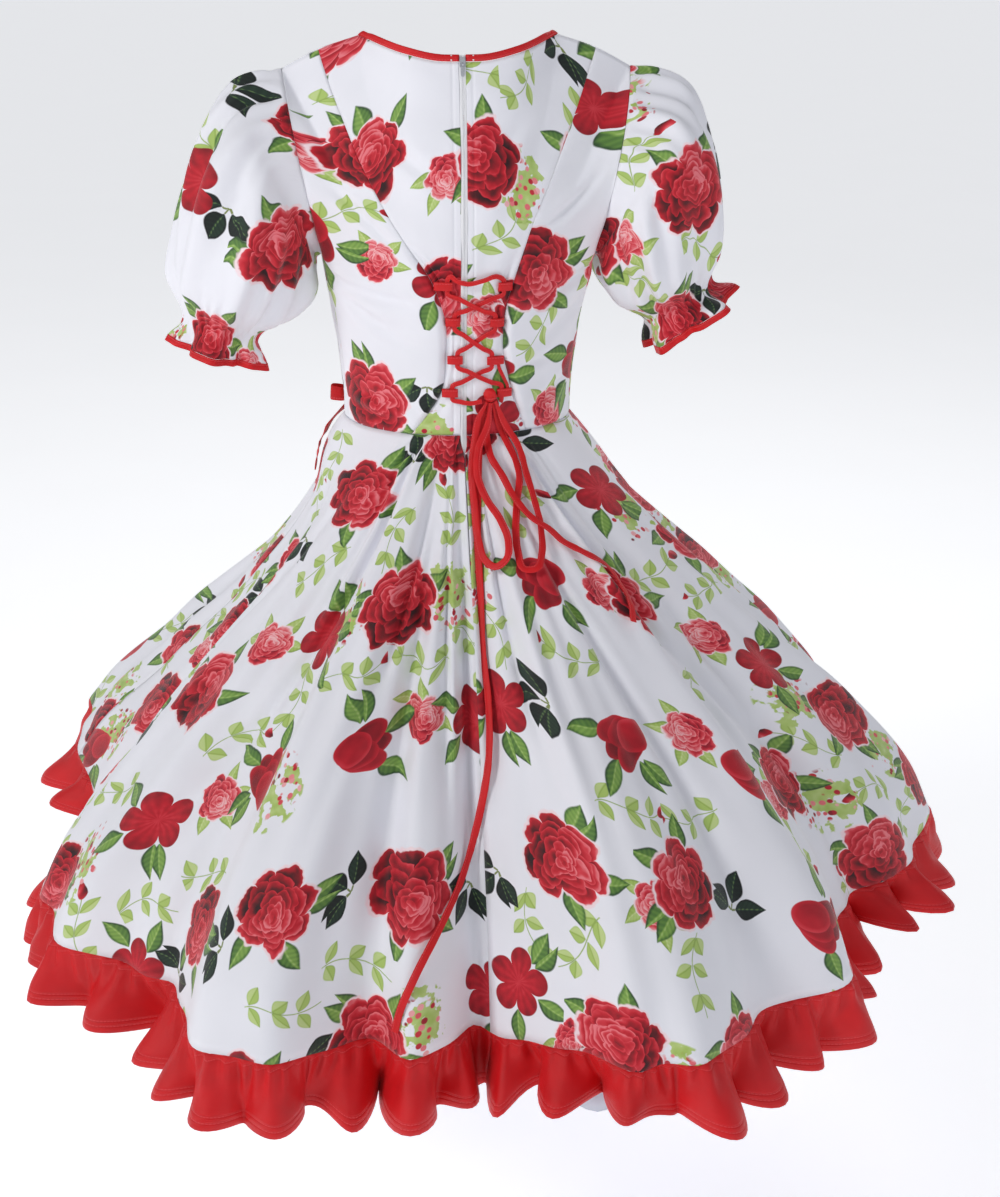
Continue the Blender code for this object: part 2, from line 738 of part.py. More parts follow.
def cloth_wall(name, faces_of_wall, finish, ring=False):
    """A closed cloth wall between an outer and an inner grid of points, row by row.

    Both faces are split along the same diagonals, so that they keep their distance.
    """
    outer, inner = faces_of_wall
    rows, columns = outer.shape[:2]
    points = np.concatenate([outer.reshape(-1, 3), inner.reshape(-1, 3)])
    strips = columns if ring else columns - 1

    def at(row, column, layer=0):
        return layer * rows * columns + row * columns + column % columns

    def rim(corners, turned):
        faces.append(corners[::-1] if turned else corners)

    faces = []
    for row in range(rows - 1):
        for column in range(strips):
            corners = [(row, column), (row, column + 1), (row + 1, column + 1), (row + 1, column)]
            spans = [np.linalg.norm(points[at(*corners[i])] - points[at(*corners[i + 2])]) for i in (0, 1)]
            if spans[1] < spans[0]:
                corners = corners[1:] + corners[:1]
            for half in (corners[:3], [corners[0], *corners[2:]]):
                faces.append([at(*corner) for corner in half])
                faces.append([at(*corner, 1) for corner in reversed(half)])
    for row in (0, rows - 1):
        for column in range(strips):
            ahead = column + 1
            rim([at(row, ahead), at(row, column), at(row, column, 1), at(row, ahead, 1)], row > 0)
    for column in () if ring else (0, columns - 1):
        for row in range(rows - 1):
            below = row + 1
            rim([at(row, column), at(below, column), at(below, column, 1), at(row, column, 1)], column > 0)
    return mesh_object(name, points, faces, finish)


def from_axis(points):
    """Directions from the dress's upright axis."""
    return points * [1, 1, 0]


def panel_columns(start, end):
    """The columns of a bodice panel between two places: closer at the armhole."""
    neck = np.linspace(0, NECK_SHARE, NECK_COLUMNS + 1)
    shoulder = np.linspace(NECK_SHARE, TIP_SHARE, SHOULDER_COLUMNS + 1)[1:]
    hole = np.linspace(TIP_SHARE, 1, ARMHOLE_COLUMNS + 1)[1:]
    marks = np.concatenate([neck, shoulder, hole])
    marks = np.sort(np.concatenate([marks, 2 - marks[:-1], [PRINCESS_SHARE + 0.02]]))
    inside = marks[(marks > start + 0.001) & (marks < end - 0.001)]
    return np.concatenate([[start], inside, [end]])


def bodice_walls(side, columns):
    """The outer and inner grids of a bodice panel on one side."""
    grid_u, grid_v = np.meshgrid(columns, BODICE_RISES)
    outer = bodice(side, grid_u, grid_v)
    return outer, outer - bodice_normal(side, grid_u, grid_v) * CLOTH


def neck_walls(side, columns):
    """The outer and inner grids of the neck binding on one side, beyond the neckline."""
    edge, normal = bodice(side, columns, 1.0), bodice_normal(side, columns, 1.0)
    away = top_edge_away(side, columns)
    share = np.where(columns <= 1, columns, 2 - columns)
    lean = away.copy()
    for near, weight in ((NECK_SHARE - 0.05, 1.0), (0.16, 0.5)):
        at_shoulder = weight * ease(near, NECK_SHARE, share)[..., None]
        lean = lean + at_shoulder * (np.array([-0.85 * side, 0.0, 0.53]) - lean)
    lean /= np.linalg.norm(lean, axis=-1, keepdims=True)
    start = edge + lean * (SEAM_GAP + 0.001 * ease(0.16, NECK_SHARE, share)[..., None])
    grid = np.stack([start, start + lean * BINDING_WIDTH])
    return grid + normal * 0.0003, grid + normal * (0.0003 - BINDING_CLOTH)


def both_sides(walls, columns):
    """One pair of grids from the left side, through the centre front, to the right side."""
    pairs = zip(walls(-1, columns), walls(1, columns))
    return [np.concatenate([left, right[:, ::-1][:, 1:]], axis=1) for left, right in pairs]


def make_bodice():
    """The five panels of the bodice, and the red binding round its neck, open at the zip."""
    seam = "first last top bottom"
    for side, hand in ((-1, "left"), (1, "right")):
        for name, start, end, edges in (
            ("back", 0.0, PRINCESS_SHARE, "last top bottom"),
            ("side_back", PRINCESS_SHARE, 1.0, seam),
        ):
            walls = bodice_walls(side, panel_columns(start, end))
            walls = [trimmed(grid, edges, SEAM_GAP) for grid in walls]
            cloth_wall(f"{name}_{hand}", walls, "printed_cloth")
    walls = both_sides(bodice_walls, panel_columns(1.0, 2.0))
    cloth_wall("bodice_front", [trimmed(grid, seam) for grid in walls], "printed_cloth")
    back = np.linspace(0, NECK_SHARE, NECK_COLUMNS + 1)
    walls = both_sides(neck_walls, np.concatenate([back, 2 - back[-2::-1]]))
    cloth_wall("neck_binding", walls, "red_cloth")


def make_sleeves():
    """Two puff sleeves with a frill below the elastic, and a red binding on each frill."""
    psi = np.arange(4 * ARMHOLE_COLUMNS) * 90 / ARMHOLE_COLUMNS
    cloth = np.array([0, 0.10, 0.24, 0.39, 0.54, 0.69, 0.82, 0.92, 1.0, 1.08, FRILL_EDGE])
    binding = np.array([FRILL_EDGE, FRILL_EDGE + 0.04])
    parts = (
        ("sleeve", cloth, "printed_cloth", CLOTH, "bottom"),
        ("cuff_binding", binding, "red_cloth", BINDING_CLOTH, "top"),
    )
    for side, hand in ((-1, "left"), (1, "right")):
        for name, places, finish, thickness, edges in parts:
            walls = two_faces(
                lambda u, v: sleeve(side, u, v),
                psi,
                places,
                (1.5, 0.01),
                lambda points: points - points.mean(axis=1, keepdims=True),
                thickness,
            )
            if name == "sleeve":
                near_tip = 1 - ease(10, 40, np.abs((psi + 180) % 360 - 180))[:, None]
                inner = walls[0][0] - armhole(side, psi)[1] * thickness
                walls[1][0] += near_tip * (inner - walls[1][0])
            walls = [trimmed(grid, edges, SEAM_GAP) for grid in walls]
            cloth_wall(f"{name}_{hand}", walls, finish, ring=True)


def hem_columns(pieces):
    """Turn angles of the skirt's columns: every ridge and valley, and steps of the hem between."""
    marks = HEM_FOLDS["turn"]
    marks = np.sort(np.concatenate([marks, [0.0, 180.0]]))
    columns = [marks[:1]]
    for low, high in zip(marks[:-1], marks[1:]):
        span = np.interp(high, HEM_TURNS, HEM_LENGTHS) - np.interp(low, HEM_TURNS, HEM_LENGTHS)
        count = max(1, round(span / SKIRT_COLUMN)) * pieces
        columns.append(np.linspace(low, high, count + 1)[1:])
    return np.concatenate(columns)


def between(columns, start, end):
    """The columns of a skirt panel. A panel may pass through the centre front."""
    tiny = 0.0001
    if start > end:
        right = columns[columns > start - tiny]
        left = columns[columns < end + tiny]
        return np.concatenate([right, left[1:]])
    inside = columns[(columns > start - tiny) & (columns < end + tiny)].copy()
    inside[np.abs(inside) < tiny] = tiny * np.sign(start + end)
    return inside


def make_skirt():
    """Three skirt panels, each with its ruffle, and the underskirt."""
    skirt_rows = np.array(SKIRT_ROWS)
    ruffle_rows = np.linspace(0, RUFFLE_LENGTH, RUFFLE_ROWS)
    coarse, fine = hem_columns(1), hem_columns(RUFFLE_COLUMNS)
    left_seam, right_seam = SKIRT_SEAMS
    panels = (
        ("back_left", left_seam, 0, "first last top bottom"),
        ("back_right", 0, right_seam, "first last top bottom"),
        ("front", right_seam, left_seam, "first last top bottom"),
    )
    for name, start, end, edges in panels:
        columns = between(coarse, start, end)
        fine_columns = between(fine, start, end)
        walls = two_faces(skirt, columns, skirt_rows, (1.2, 0.01), from_axis)
        hang = two_faces(dress_skirt, fine_columns, ruffle_rows, (0.4, 0.001), from_axis)
        places = np.linspace(0, len(columns) - 1, len(fine_columns))
        for upper, lower in zip(walls, hang):
            seam = [np.interp(places, np.arange(len(columns)), upper[-1][:, axis]) for axis in range(3)]
            lower[0] = np.stack(seam, -1)
        cloth_wall(f"skirt_{name}", [trimmed(grid, edges) for grid in walls], "printed_cloth")
        ruffle_edges = "first last top"
        cloth_wall(f"ruffle_{name}", [trimmed(grid, ruffle_edges) for grid in hang], "red_cloth")
    folds = HEM_FOLDS["turn"]
    turns = np.sort(np.concatenate([folds, folds + np.diff(np.append(folds, 180)) / 2]))
    rows = np.linspace(0, 1, UNDERSKIRT_ROWS)
    walls = two_faces(underskirt, turns, rows, (2.0, 0.01), from_axis)
    cloth_wall("underskirt", walls, "lining_cloth", ring=True)


def on_back(x, height, lift):
    """A point on the back of the dress at x and a height, lifted off the cloth.

    The bodice is followed above the waist and the skirt below it.
    """
    side = -1 if x < 0 else 1
    if height > WAIST_HEIGHT:
        shares = np.linspace(0, 0.9, 181)
        rises = (height - WAIST_HEIGHT) / (top_edge("back", shares)[2] - WAIST_HEIGHT)
        share = np.interp(abs(x), np.abs(bodice(side, shares, rises)[:, 0]), shares)
        rise = np.interp(share, shares, rises)
        point, normal = bodice(side, share, rise), bodice_normal(side, min(share, 0.4), rise)
        point = point * [0, 1, 1] + [x, 0, 0]
    else:
        turns = np.linspace(-70, 70, 281)
        fall = (height - WAIST_HEIGHT) / (hem_point(turns)[:, 2] - WAIST_HEIGHT)
        lengths = np.linspace(0, 1, 101)
        along = np.interp(fall, read(FLARE, "drop", lengths), lengths)
        turn = np.interp(x, skirt(turns, along)[:, 0], turns)
        at = np.interp(turn, turns, along)
        point = skirt(turn, at)
        normal = -normals_of(skirt, turn, at, 4.0, 0.03)
    return point + normal * lift, normal


def through(points, count, facings):
    """A smooth curve of so many points through a few, and its facing at each point."""
    points = np.asarray(points, float)
    lengths = np.concatenate([[0], np.cumsum(np.linalg.norm(np.diff(points, axis=0), axis=1))])
    at = np.linspace(0, lengths[-1], count)
    curves = []
    for values in (points, np.asarray(facings, float)):
        rows = {"length": lengths, **{axis: values[:, i] for i, axis in enumerate("xyz")}}
        curves.append(np.stack([read(rows, axis, at) for axis in "xyz"], -1))
    return curves


def ribbon(name, route, outward, width, finish="red_cloth", thickness=LACE_THICKNESS):
    """A flat ribbon along a route. outward gives the direction that its face looks in."""
    ahead = np.gradient(route, axis=0)
    across = np.cross(ahead, outward)
    across /= np.linalg.norm(across, axis=1, keepdims=True)
    face = np.cross(across, ahead)
    face /= np.linalg.norm(face, axis=1, keepdims=True)
    half = across * np.broadcast_to(width, len(route))[:, None] / 2
    outer = np.stack([route - half, route + half], 1) + face[:, None] * thickness / 2
    return cloth_wall(name, (outer, outer - face[:, None] * thickness), finish)


def lacing_loop(name, side, height, inner):
    """A flat band loop that comes out of the laced seam towards the zip."""
    outer = read(LACED_SEAM, "left" if side < 0 else "right", height) - 0.0012
    lift = LOOP_LIFT + LOOP_DEPTH / 2
    start, _ = on_back(side * inner, height, lift)
    end, _ = on_back(side * outer, height, lift)
    along = (end - start) * [1, 1, 0]
    length = np.linalg.norm(along)
    along /= length
    out = np.array([along[1], -along[0], 0.0]) * side
    turns = np.radians(np.arange(LOOP_POINTS) * 360 / LOOP_POINTS + 180 / LOOP_POINTS)
    middle = side * (inner + outer) / 2
    ends = [on_back(middle, height + step * LOOP_HEIGHT / 2, lift)[0] for step in (1, -1)]
    centre, tilt = (ends[0] + ends[1]) / 2, (ends[0] - ends[1]) / 2
    rings = []
    for cloth in (0.0, LOOP_CLOTH):
        radius = LOOP_DEPTH / 2 - cloth
        run = np.sign(np.cos(turns)) * (length - LOOP_DEPTH) / 2 + radius * np.cos(turns)
        flat = centre + run[:, None] * along + (radius * np.sin(turns))[:, None] * out
        rings.append(np.stack([flat + tilt, flat - tilt]))
    cloth_wall(name, rings, "red_cloth", ring=True)


def lace_route(stops, count, tied=None):
    """A lace's route and facing through stops on the back, each x, height and lift.

    tied names the ends that reach a knot, and gives the knot's centre, axes and sizes.
    """
    found = [on_back(*stop) for stop in stops]
    points = [point for point, _ in found]
    if tied:
        for end in tied[0]:
            points[end] = beside_knot(points[end], *tied[1:])
    return through(points, count, [normal for _, normal in found])


def loop_stops(row):
    """The lace's stops through one loop, from its top to its bottom."""
    side, height, across = (LOOPS[name][row] for name in ("side", "height", "lace"))
    lift = LOOP_LIFT + LOOP_DEPTH / 2
    return [(side * across, height + step, lift) for step in (0.0068, 0.0040, -0.0040, -0.0068)]


def crossing(start, end, lift):
    """A stop half way between two others, where one lace passes over or under the other."""
    return [((start[0] + end[0]) / 2, (start[1] + end[1]) / 2, lift)]


def make_lacing():
    """The eight loops, the crossed lace, its knot, its two loops and its two free ends."""
    for row, (side, height, inner) in enumerate(zip(LOOPS["side"], LOOPS["height"], LOOPS["inner"])):
        hand = "left" if side < 0 else "right"
        lacing_loop(f"lacing_loop_{hand}_{row // 2 + 1}", int(side), height, inner)
    gate, under, over = LOOP_LIFT + LOOP_DEPTH / 2, 0.0021, 0.0050
    for name, rows, lifts in (("a", (0, 3, 4, 7), (over, under, over)), ("b", (1, 2, 5, 6), (under, over, under))):
        stops = []
        for i, row in enumerate(rows):
            through_loop = loop_stops(row)
            if i:
                stops += crossing(stops[-1], through_loop[0], lifts[i - 1])
            stops += through_loop
        if name == "a":
            run = [(0.0415, -0.2505, gate), (0.0410, -0.2440, gate), (0.034, -0.2395, 0.0040)]
            run += [(0.019, -0.2430, 0.0050), (0.003, -0.2460, 0.0045), (-0.009, -0.2420, 0.0050)]
            stops = run + [(-0.0145, -0.2380, 0.0040)] + stops
            stops += [(0.0390, -0.3790, 0.0045)]
        else:
            stops = stops[2:]
            stops += [(-0.004, -0.3765, 0.0040), (0.008, -0.3780, 0.0060), (0.0185, -0.3755, 0.0085)]
        route, facing = lace_route(stops, LACE_STATIONS)
        ribbon(f"lace_{name}", route, facing, LACE_WIDTH)
    stops = [(0.0372, -0.330, gate), (0.0372, -0.338, gate), (0.0425, -0.351, 0.0024)]
    stops += [(0.0475, -0.363, gate), (0.0478, -0.370, gate)]
    route, facing = lace_route(stops, 10)
    ribbon("lace_side_run", route, facing, LACE_WIDTH * 0.75)


def knot(name, centre, axes, sizes):
    """A knot: a small ball, squashed along three axes."""
    points, faces = primitive(bmesh.ops.create_icosphere, subdivisions=2, radius=1.0)
    mesh_object(name, centre + (points * sizes) @ np.array(axes), faces, "red_cloth")


def beside_knot(point, centre, axes, sizes):
    """The place just outside a knot that lies towards a point."""
    spoke = (point - centre) @ np.array(axes).T / sizes
    surface = (spoke / np.linalg.norm(spoke) * sizes) @ np.array(axes)
    return centre + surface * (1 + KNOT_GAP / np.linalg.norm(surface))


def tapered(length, count, ends):
    """A bow ribbon's widths, gathered at the ends that go into the knot."""
    at = np.linspace(0, length, count)
    width = np.full(count, BOW_WIDTH)
    if 0 in ends:
        width = width * (0.45 + 0.55 * ease(0.0, 0.03, at))
    if -1 in ends:
        width = width * (0.45 + 0.55 * ease(0.0, 0.03, length - at))
    return width


def lace_tie():
    """The centre, axes and sizes of the lace's knot."""
    centre, out = on_back(0.0275, -0.3700, 0.0055)
    return centre, [(1, 0, 0), out, np.cross((1, 0, 0), out)], np.array([0.0072, 0.0048, 0.0082])


def make_bow():
    """The lace's bow: a knot, two long loops and two free ends that lie on the skirt."""
    tie = lace_tie()
    knot("lace_knot", *tie)
    for name, rows, count, ends in (
        ("bow_loop_left", BOW_LOOP_LEFT, 36, (0, -1)),
        ("bow_loop_right", BOW_LOOP_RIGHT, 36, (0, -1)),
        ("lace_end_long", LONG_END, 42, (0,)),
        ("lace_end_short", SHORT_END, 26, (0,)),
    ):
        stops = list(zip(rows["x"], rows["height"], rows["lift"]))
        route, facing = lace_route(stops, count, (ends, *tie))
        length = np.linalg.norm(np.diff(route, axis=0), axis=1).sum()
        ribbon(name, route, facing, tapered(length, count, ends))


def make_front_bow():
    """The bow at the front of the waist, of a wider ribbon: a knot, two loops and two ends."""
    turn = np.radians(FRONT_BOW_TURN)
    x, y = torso(FRONT_BOW_TURN, WAIST_HEIGHT)
    out = np.array([x / 0.128**2, y / 0.097**2, 0.0])
    out /= np.linalg.norm(out)
    aside = np.array([-out[1], out[0], 0.0]) * np.sign(turn)
    centre = np.array([x, y, WAIST_HEIGHT + 0.007]) + out * 0.0068
    tie = (centre, [aside, out, (0, 0, 1)], np.array([0.008, 0.0055, 0.009]))
    knot("front_knot", *tie)
    for name, way in (("rear", -1), ("fore", 1)):
        stops = [
            centre + aside * way * row_aside + out * row_out + [0, 0, row_up]
            for row_aside, row_out, row_up in zip(*(FRONT_LOOP[key] for key in ("aside", "out", "up")))
        ]
        for end in (0, -1):
            stops[end] = beside_knot(stops[end], *tie)
        route, _ = through(stops, 18, stops)
        width = FRONT_BOW_WIDTH * (0.55 + 0.45 * np.sin(np.linspace(0, math.pi, 18)))
        facing = np.cross(np.gradient(route, axis=0), (0, 0, 1))
        ribbon(f"front_loop_{name}", route, facing, width)
    for name, rows in (("rear", FRONT_END_REAR), ("fore", FRONT_END_FORE)):
        point = skirt(rows["turn"], rows["along"])
        facing = -normals_of(skirt, rows["turn"], rows["along"], 4.0, 0.03)
        stops = point + facing * rows["lift"][:, None]
        stops[0] = beside_knot(stops[0], *tie)
        route, facing = through(stops, 11, facing)
        width = FRONT_BOW_WIDTH * (0.55 + 0.45 * ease(0, 5, np.arange(11)))
        ribbon(f"front_end_{name}", route, facing, width)


def make_zip():
    """The zip's two tapes, its slider at the top and the pull tab that hangs from it."""
    rises = np.linspace(0.985, 0.0, 12)
    lengths = np.linspace(0.02, 0.215, 5)
    neck = bodice(1, np.array([0.0]), 1.0) + top_edge_away(1, np.array([0.0])) * 0.0065
    line = np.concatenate([neck, bodice(1, 0.0, rises), skirt(0.0001, lengths)])
    middle = line * [0, 1, 1] + [0, 0.0004, 0]
    ahead = np.gradient(middle, axis=0)
    out = np.cross(ahead, [1.0, 0, 0])
    out /= np.linalg.norm(out, axis=1, keepdims=True)
    out *= np.where(out[:, 1:2] > 0, -1, 1)
    for side, hand in ((-1, "left"), (1, "right")):
        edges = [middle + [side * across, 0, 0] for across in (0.00015, ZIP_HALF_WIDTH - 0.0003)]
        outer = np.stack(edges, 1)
        cloth_wall(f"zip_tape_{hand}", (outer, outer - out[:, None] * 0.0010), "zip_tape")
    start, direction = middle[0], (middle[1] - middle[0]) / np.linalg.norm(middle[1] - middle[0])
    outward = out[0]
    frame = np.array([[1.0, 0, 0], outward, -direction])

    def place(points):
        return start + direction * 0.002 + np.asarray(points) @ frame

    low, high = 0.0003, 0.0023
    corners, body = primitive(bmesh.ops.create_cube, size=1.0)
    corners = corners * (0.0056, high - low, 0.010) + (0, (low + high) / 2, -0.005)
    slider = mesh_object("zip_slider", place(corners), body, "zip_metal")
    axis = np.array([0, high + 0.0012, -0.0078])
    turns = np.radians(np.arange(12) * 30 + 15)
    circle = np.stack([0 * turns, np.cos(turns), np.sin(turns)], -1)
    rings = [
        np.stack([place(axis + circle * radius + [x, 0, 0]) for x in (-0.0008, 0.0008)])
        for radius in (0.0017, 0.0008)
    ]
    bail = cloth_wall("zip_bail", rings, "zip_metal", ring=True)
    join = slider.modifiers.new("bail", "BOOLEAN")
    join.operation, join.object, join.solver = "UNION", bail, "EXACT"
    bpy.context.view_layer.update()
    joined = bpy.data.meshes.new_from_object(slider.evaluated_get(bpy.context.evaluated_depsgraph_get()))
    slider.modifiers.clear()
    slider.data = joined
    bpy.data.objects.remove(bail, do_unlink=True)
    faces = []
    for name in ("outer", "hole"):
        flat = np.stack([PULL_TAB[name + "_x"], 0 * PULL_TAB["outer_x"], PULL_TAB[name + "_z"]], -1)
        faces.append(np.stack([place(axis + flat + [0, y, 0]) for y in (-0.0004, 0.0004)]))
    pull = cloth_wall("zip_pull", faces, "zip_metal", ring=True)
    pivot = place(axis)
    for vert in pull.data.vertices:
        vert.co = np.array(vert.co) - pivot
    pull.location = pivot


def clear_objects():
    """Empties the scene and makes the dress's collection."""
    for obj in list(bpy.data.objects):
        bpy.data.objects.remove(obj, do_unlink=True)
    bpy.context.scene.collection.children.link(bpy.data.collections.new("Cueca dress"))


def main():
    clear_objects()
    make_bodice()
    make_sleeves()
    make_skirt()
    make_zip()
    make_lacing()
    make_bow()
    make_front_bow()


main()
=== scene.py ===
"""Cueca dress: its printed cloth, red trimmings, lacing and zip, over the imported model.

Run it as a script in Blender. It follows the add-on layout: the sidebar's Dress tab lists its
steps. Sizes are in metres and angles in degrees. A turn angle is 0 at the centre back and
grows towards +X, so that the centre front is at 180.
"""

import math

import bpy
import numpy as np
from bpy.props import FloatProperty, FloatVectorProperty, PointerProperty
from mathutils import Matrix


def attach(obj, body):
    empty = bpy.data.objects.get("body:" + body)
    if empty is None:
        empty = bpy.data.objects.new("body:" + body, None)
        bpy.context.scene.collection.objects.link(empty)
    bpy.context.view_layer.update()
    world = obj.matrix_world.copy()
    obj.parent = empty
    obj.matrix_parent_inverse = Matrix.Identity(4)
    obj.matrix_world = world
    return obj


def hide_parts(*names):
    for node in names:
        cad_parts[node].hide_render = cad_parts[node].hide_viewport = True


bl_info = {
    "name": "Cueca dress",
    "version": (1, 0, 0),
    "blender": (4, 5, 0),
    "location": "View3D > Sidebar > Dress",
    "description": "Dresses the packed cueca dress in printed and red cloth",
    "category": "Object",
}

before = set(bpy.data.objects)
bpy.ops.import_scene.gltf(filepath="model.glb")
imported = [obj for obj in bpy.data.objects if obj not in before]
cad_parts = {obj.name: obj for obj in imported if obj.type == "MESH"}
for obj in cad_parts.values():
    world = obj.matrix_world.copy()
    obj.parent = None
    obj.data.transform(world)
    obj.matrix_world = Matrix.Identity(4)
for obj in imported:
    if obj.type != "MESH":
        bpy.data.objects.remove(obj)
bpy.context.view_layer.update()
BODY = "dress"


# Cloth and seams
BINDING_CLOTH = 0.0018
NECK_BINDING_CLOTH = 0.0017
SEAM_GAP = 0.0003
BINDING_WIDTH = 0.007
# Heights and lengths of the cut
WAIST_HEIGHT = -0.415
SKIRT_DROP = 0.505
UNDERSKIRT_INSET = 0.0021
RUFFLE_LENGTH = 0.074
RUFFLE_HANG = 0.80
RUFFLE_WAVES = 52
RUFFLE_SWING = 0.013
SIDE_SEAM_ANGLE = 78.0
ZIP_HALF_WIDTH = 0.0035
SKIRT_SEAMS = (-108.0, 100.0)
# Lacing and bows
LACE_WIDTH = 0.0052
BOW_WIDTH = 0.008
LOOP_CLOTH = 0.0008
LOOP_DEPTH = 0.0044
LOOP_LIFT = 0.0007
LOOP_HEIGHT = 0.009
FRONT_BOW_WIDTH = 0.017
KNOT_GAP = 0.0009
# The top edge of the bodice, as shares of half the back or half the front. The shoulder seam
# runs from the neck's side to the tip of the shoulder, and the armhole from there to the side.
NECK_SHARE = 0.36
TIP_SHARE = 0.62
# Where the two laced seams of the back lie, measured from the zip
PRINCESS_SHARE = 0.49
# Rings of each sleeve, from the armhole to the elastic and on to the frill's edge
FRILL_EDGE = 1.16
MEAN_REACH = 0.525


def table(names, *rows):
    """A small table, held as one array for each named column."""
    return dict(zip(names.split(), np.array(rows, float).T))


def read(rows, name, at, around=None):
    """A smooth curve through one column of a table, read at places along its first column."""
    keys, values = next(iter(rows.values())), rows[name]
    if around:
        at = keys[0] + np.mod(at - keys[0], around)
        keys = np.concatenate([keys[-2:] - around, keys, keys[:2] + around])
        values = np.concatenate([values[-2:], values, values[:2]])
    at = np.clip(at, keys[0], keys[-1])
    cell = np.clip(np.searchsorted(keys, at, side="right") - 1, 0, len(keys) - 2)
    slopes = np.gradient(values, keys)
    width = keys[cell + 1] - keys[cell]
    s = (at - keys[cell]) / width
    start = (1 + 2 * s) * (1 - s) ** 2 * values[cell] + s * (1 - s) ** 2 * width * slopes[cell]
    end = s * s * (3 - 2 * s) * values[cell + 1] - s * s * (1 - s) * width * slopes[cell + 1]
    return start + end


def ease(low, high, at):
    """0 below low, 1 above high, with a smooth step between them."""
    share = np.clip((at - low) / (high - low), 0.0, 1.0)
    return share * share * (3 - 2 * share)


# Level sections through the bodice, from the waist up
TORSO = table(
    "height half_width back_depth front_depth",
    (-0.415, 0.128, 0.097, 0.097),
    (-0.360, 0.131, 0.095, 0.108),
    (-0.300, 0.139, 0.098, 0.124),
    (-0.228, 0.150, 0.104, 0.132),
    (-0.120, 0.163, 0.100, 0.108),
    (-0.040, 0.174, 0.080, 0.072),
    (0.010, 0.178, 0.066, 0.050),
)

BACK_NECKLINE = table(
    "share x y z",
    (0.00, 0.000, -0.074, -0.0260),
    (0.06, 0.019, -0.073, -0.0257),
    (0.18, 0.056, -0.062, -0.0190),
    (0.36, 0.104, -0.018, -0.004),
)

FRONT_NECKLINE = table(
    "share x y z",
    (0.00, 0.000, 0.0880, -0.106),
    (0.06, 0.023, 0.0855, -0.104),
    (0.18, 0.068, 0.0620, -0.082),
    (0.36, 0.104, -0.018, -0.004),
)

SHOULDER_SEAM = table(
    "share x y z",
    (0.36, 0.104, -0.018, -0.004),
    (0.49, 0.146, -0.010, -0.018),
    (0.62, 0.185, 0.000, -0.038),
)

BACK_ARMHOLE = table(
    "share x y z",
    (0.62, 0.185, 0.000, -0.038),
    (0.68, 0.181, -0.026, -0.061),
    (0.74, 0.176, -0.042, -0.090),
    (0.82, 0.168, -0.052, -0.132),
    (0.89, 0.160, -0.052, -0.172),
    (0.95, 0.153, -0.041, -0.206),
    (1.00, 0.1467, -0.0216, -0.228),
)

FRONT_ARMHOLE = table(
    "share x y z",
    (0.62, 0.185, 0.000, -0.038),
    (0.68, 0.178, 0.021, -0.062),
    (0.74, 0.170, 0.030, -0.098),
    (0.82, 0.162, 0.031, -0.146),
    (0.89, 0.156, 0.019, -0.190),
    (0.95, 0.151, 0.000, -0.217),
    (1.00, 0.1467, -0.0216, -0.228),
)

# The turn angle of each column of the front
FRONT_TURN = table(
    "share turn",
    (0.00, 180),
    (0.36, 147),
    (0.62, 122),
    (0.74, 111),
    (0.81, 104),
    (0.89, 95),
    (0.95, 86.5),
    (1.00, 78),
)

LACED_SEAM = table(
    "height left right",
    (-0.415, 0.0560, 0.0700),
    (-0.390, 0.0370, 0.0610),
    (-0.371, 0.0255, 0.0540),
    (-0.350, 0.0200, 0.0485),
    (-0.330, 0.0184, 0.0440),
    (-0.284, 0.0210, 0.0445),
    (-0.265, 0.0265, 0.0480),
    (-0.245, 0.0345, 0.0540),
    (-0.204, 0.0620, 0.0670),
    (-0.160, 0.0880, 0.0830),
    (-0.104, 0.1130, 0.1040),
    (-0.040, 0.1340, 0.1230),
    (0.010, 0.1450, 0.1330),
)

# The lacing loops: how far each reaches in towards the zip, and where the lace runs in it
LOOPS = table(
    "side height inner lace",
    (-1, -0.249, 0.0120, 0.0175),
    (1, -0.251, 0.0355, 0.0415),
    (-1, -0.288, 0.0040, 0.0100),
    (1, -0.290, 0.0274, 0.0330),
    (-1, -0.330, 0.0012, 0.0068),
    (1, -0.332, 0.0246, 0.0298),
    (-1, -0.367, 0.0060, 0.0120),
    (1, -0.369, 0.0357, 0.0408),
)

# The lace's bow and its free ends, as they lie on the back of the dress
BOW_LOOP_LEFT = table(
    "x height lift",
    (0.0225, -0.3800, 0.0075),
    (0.0150, -0.3960, 0.0068),
    (0.0120, -0.4194, 0.0074),
    (0.0070, -0.4500, 0.0066),
    (0.0085, -0.4800, 0.0060),
    (0.0120, -0.5130, 0.0060),
    (0.0180, -0.5270, 0.0062),
    (0.0270, -0.5310, 0.0070),
    (0.0380, -0.5233, 0.0080),
    (0.0410, -0.5090, 0.0092),
    (0.0350, -0.4930, 0.0102),
    (0.0200, -0.4734, 0.0106),
    (0.0130, -0.4540, 0.0108),
    (0.0160, -0.4286, 0.0110),
    (0.0240, -0.4030, 0.0104),
    (0.0268, -0.3850, 0.0100),
)

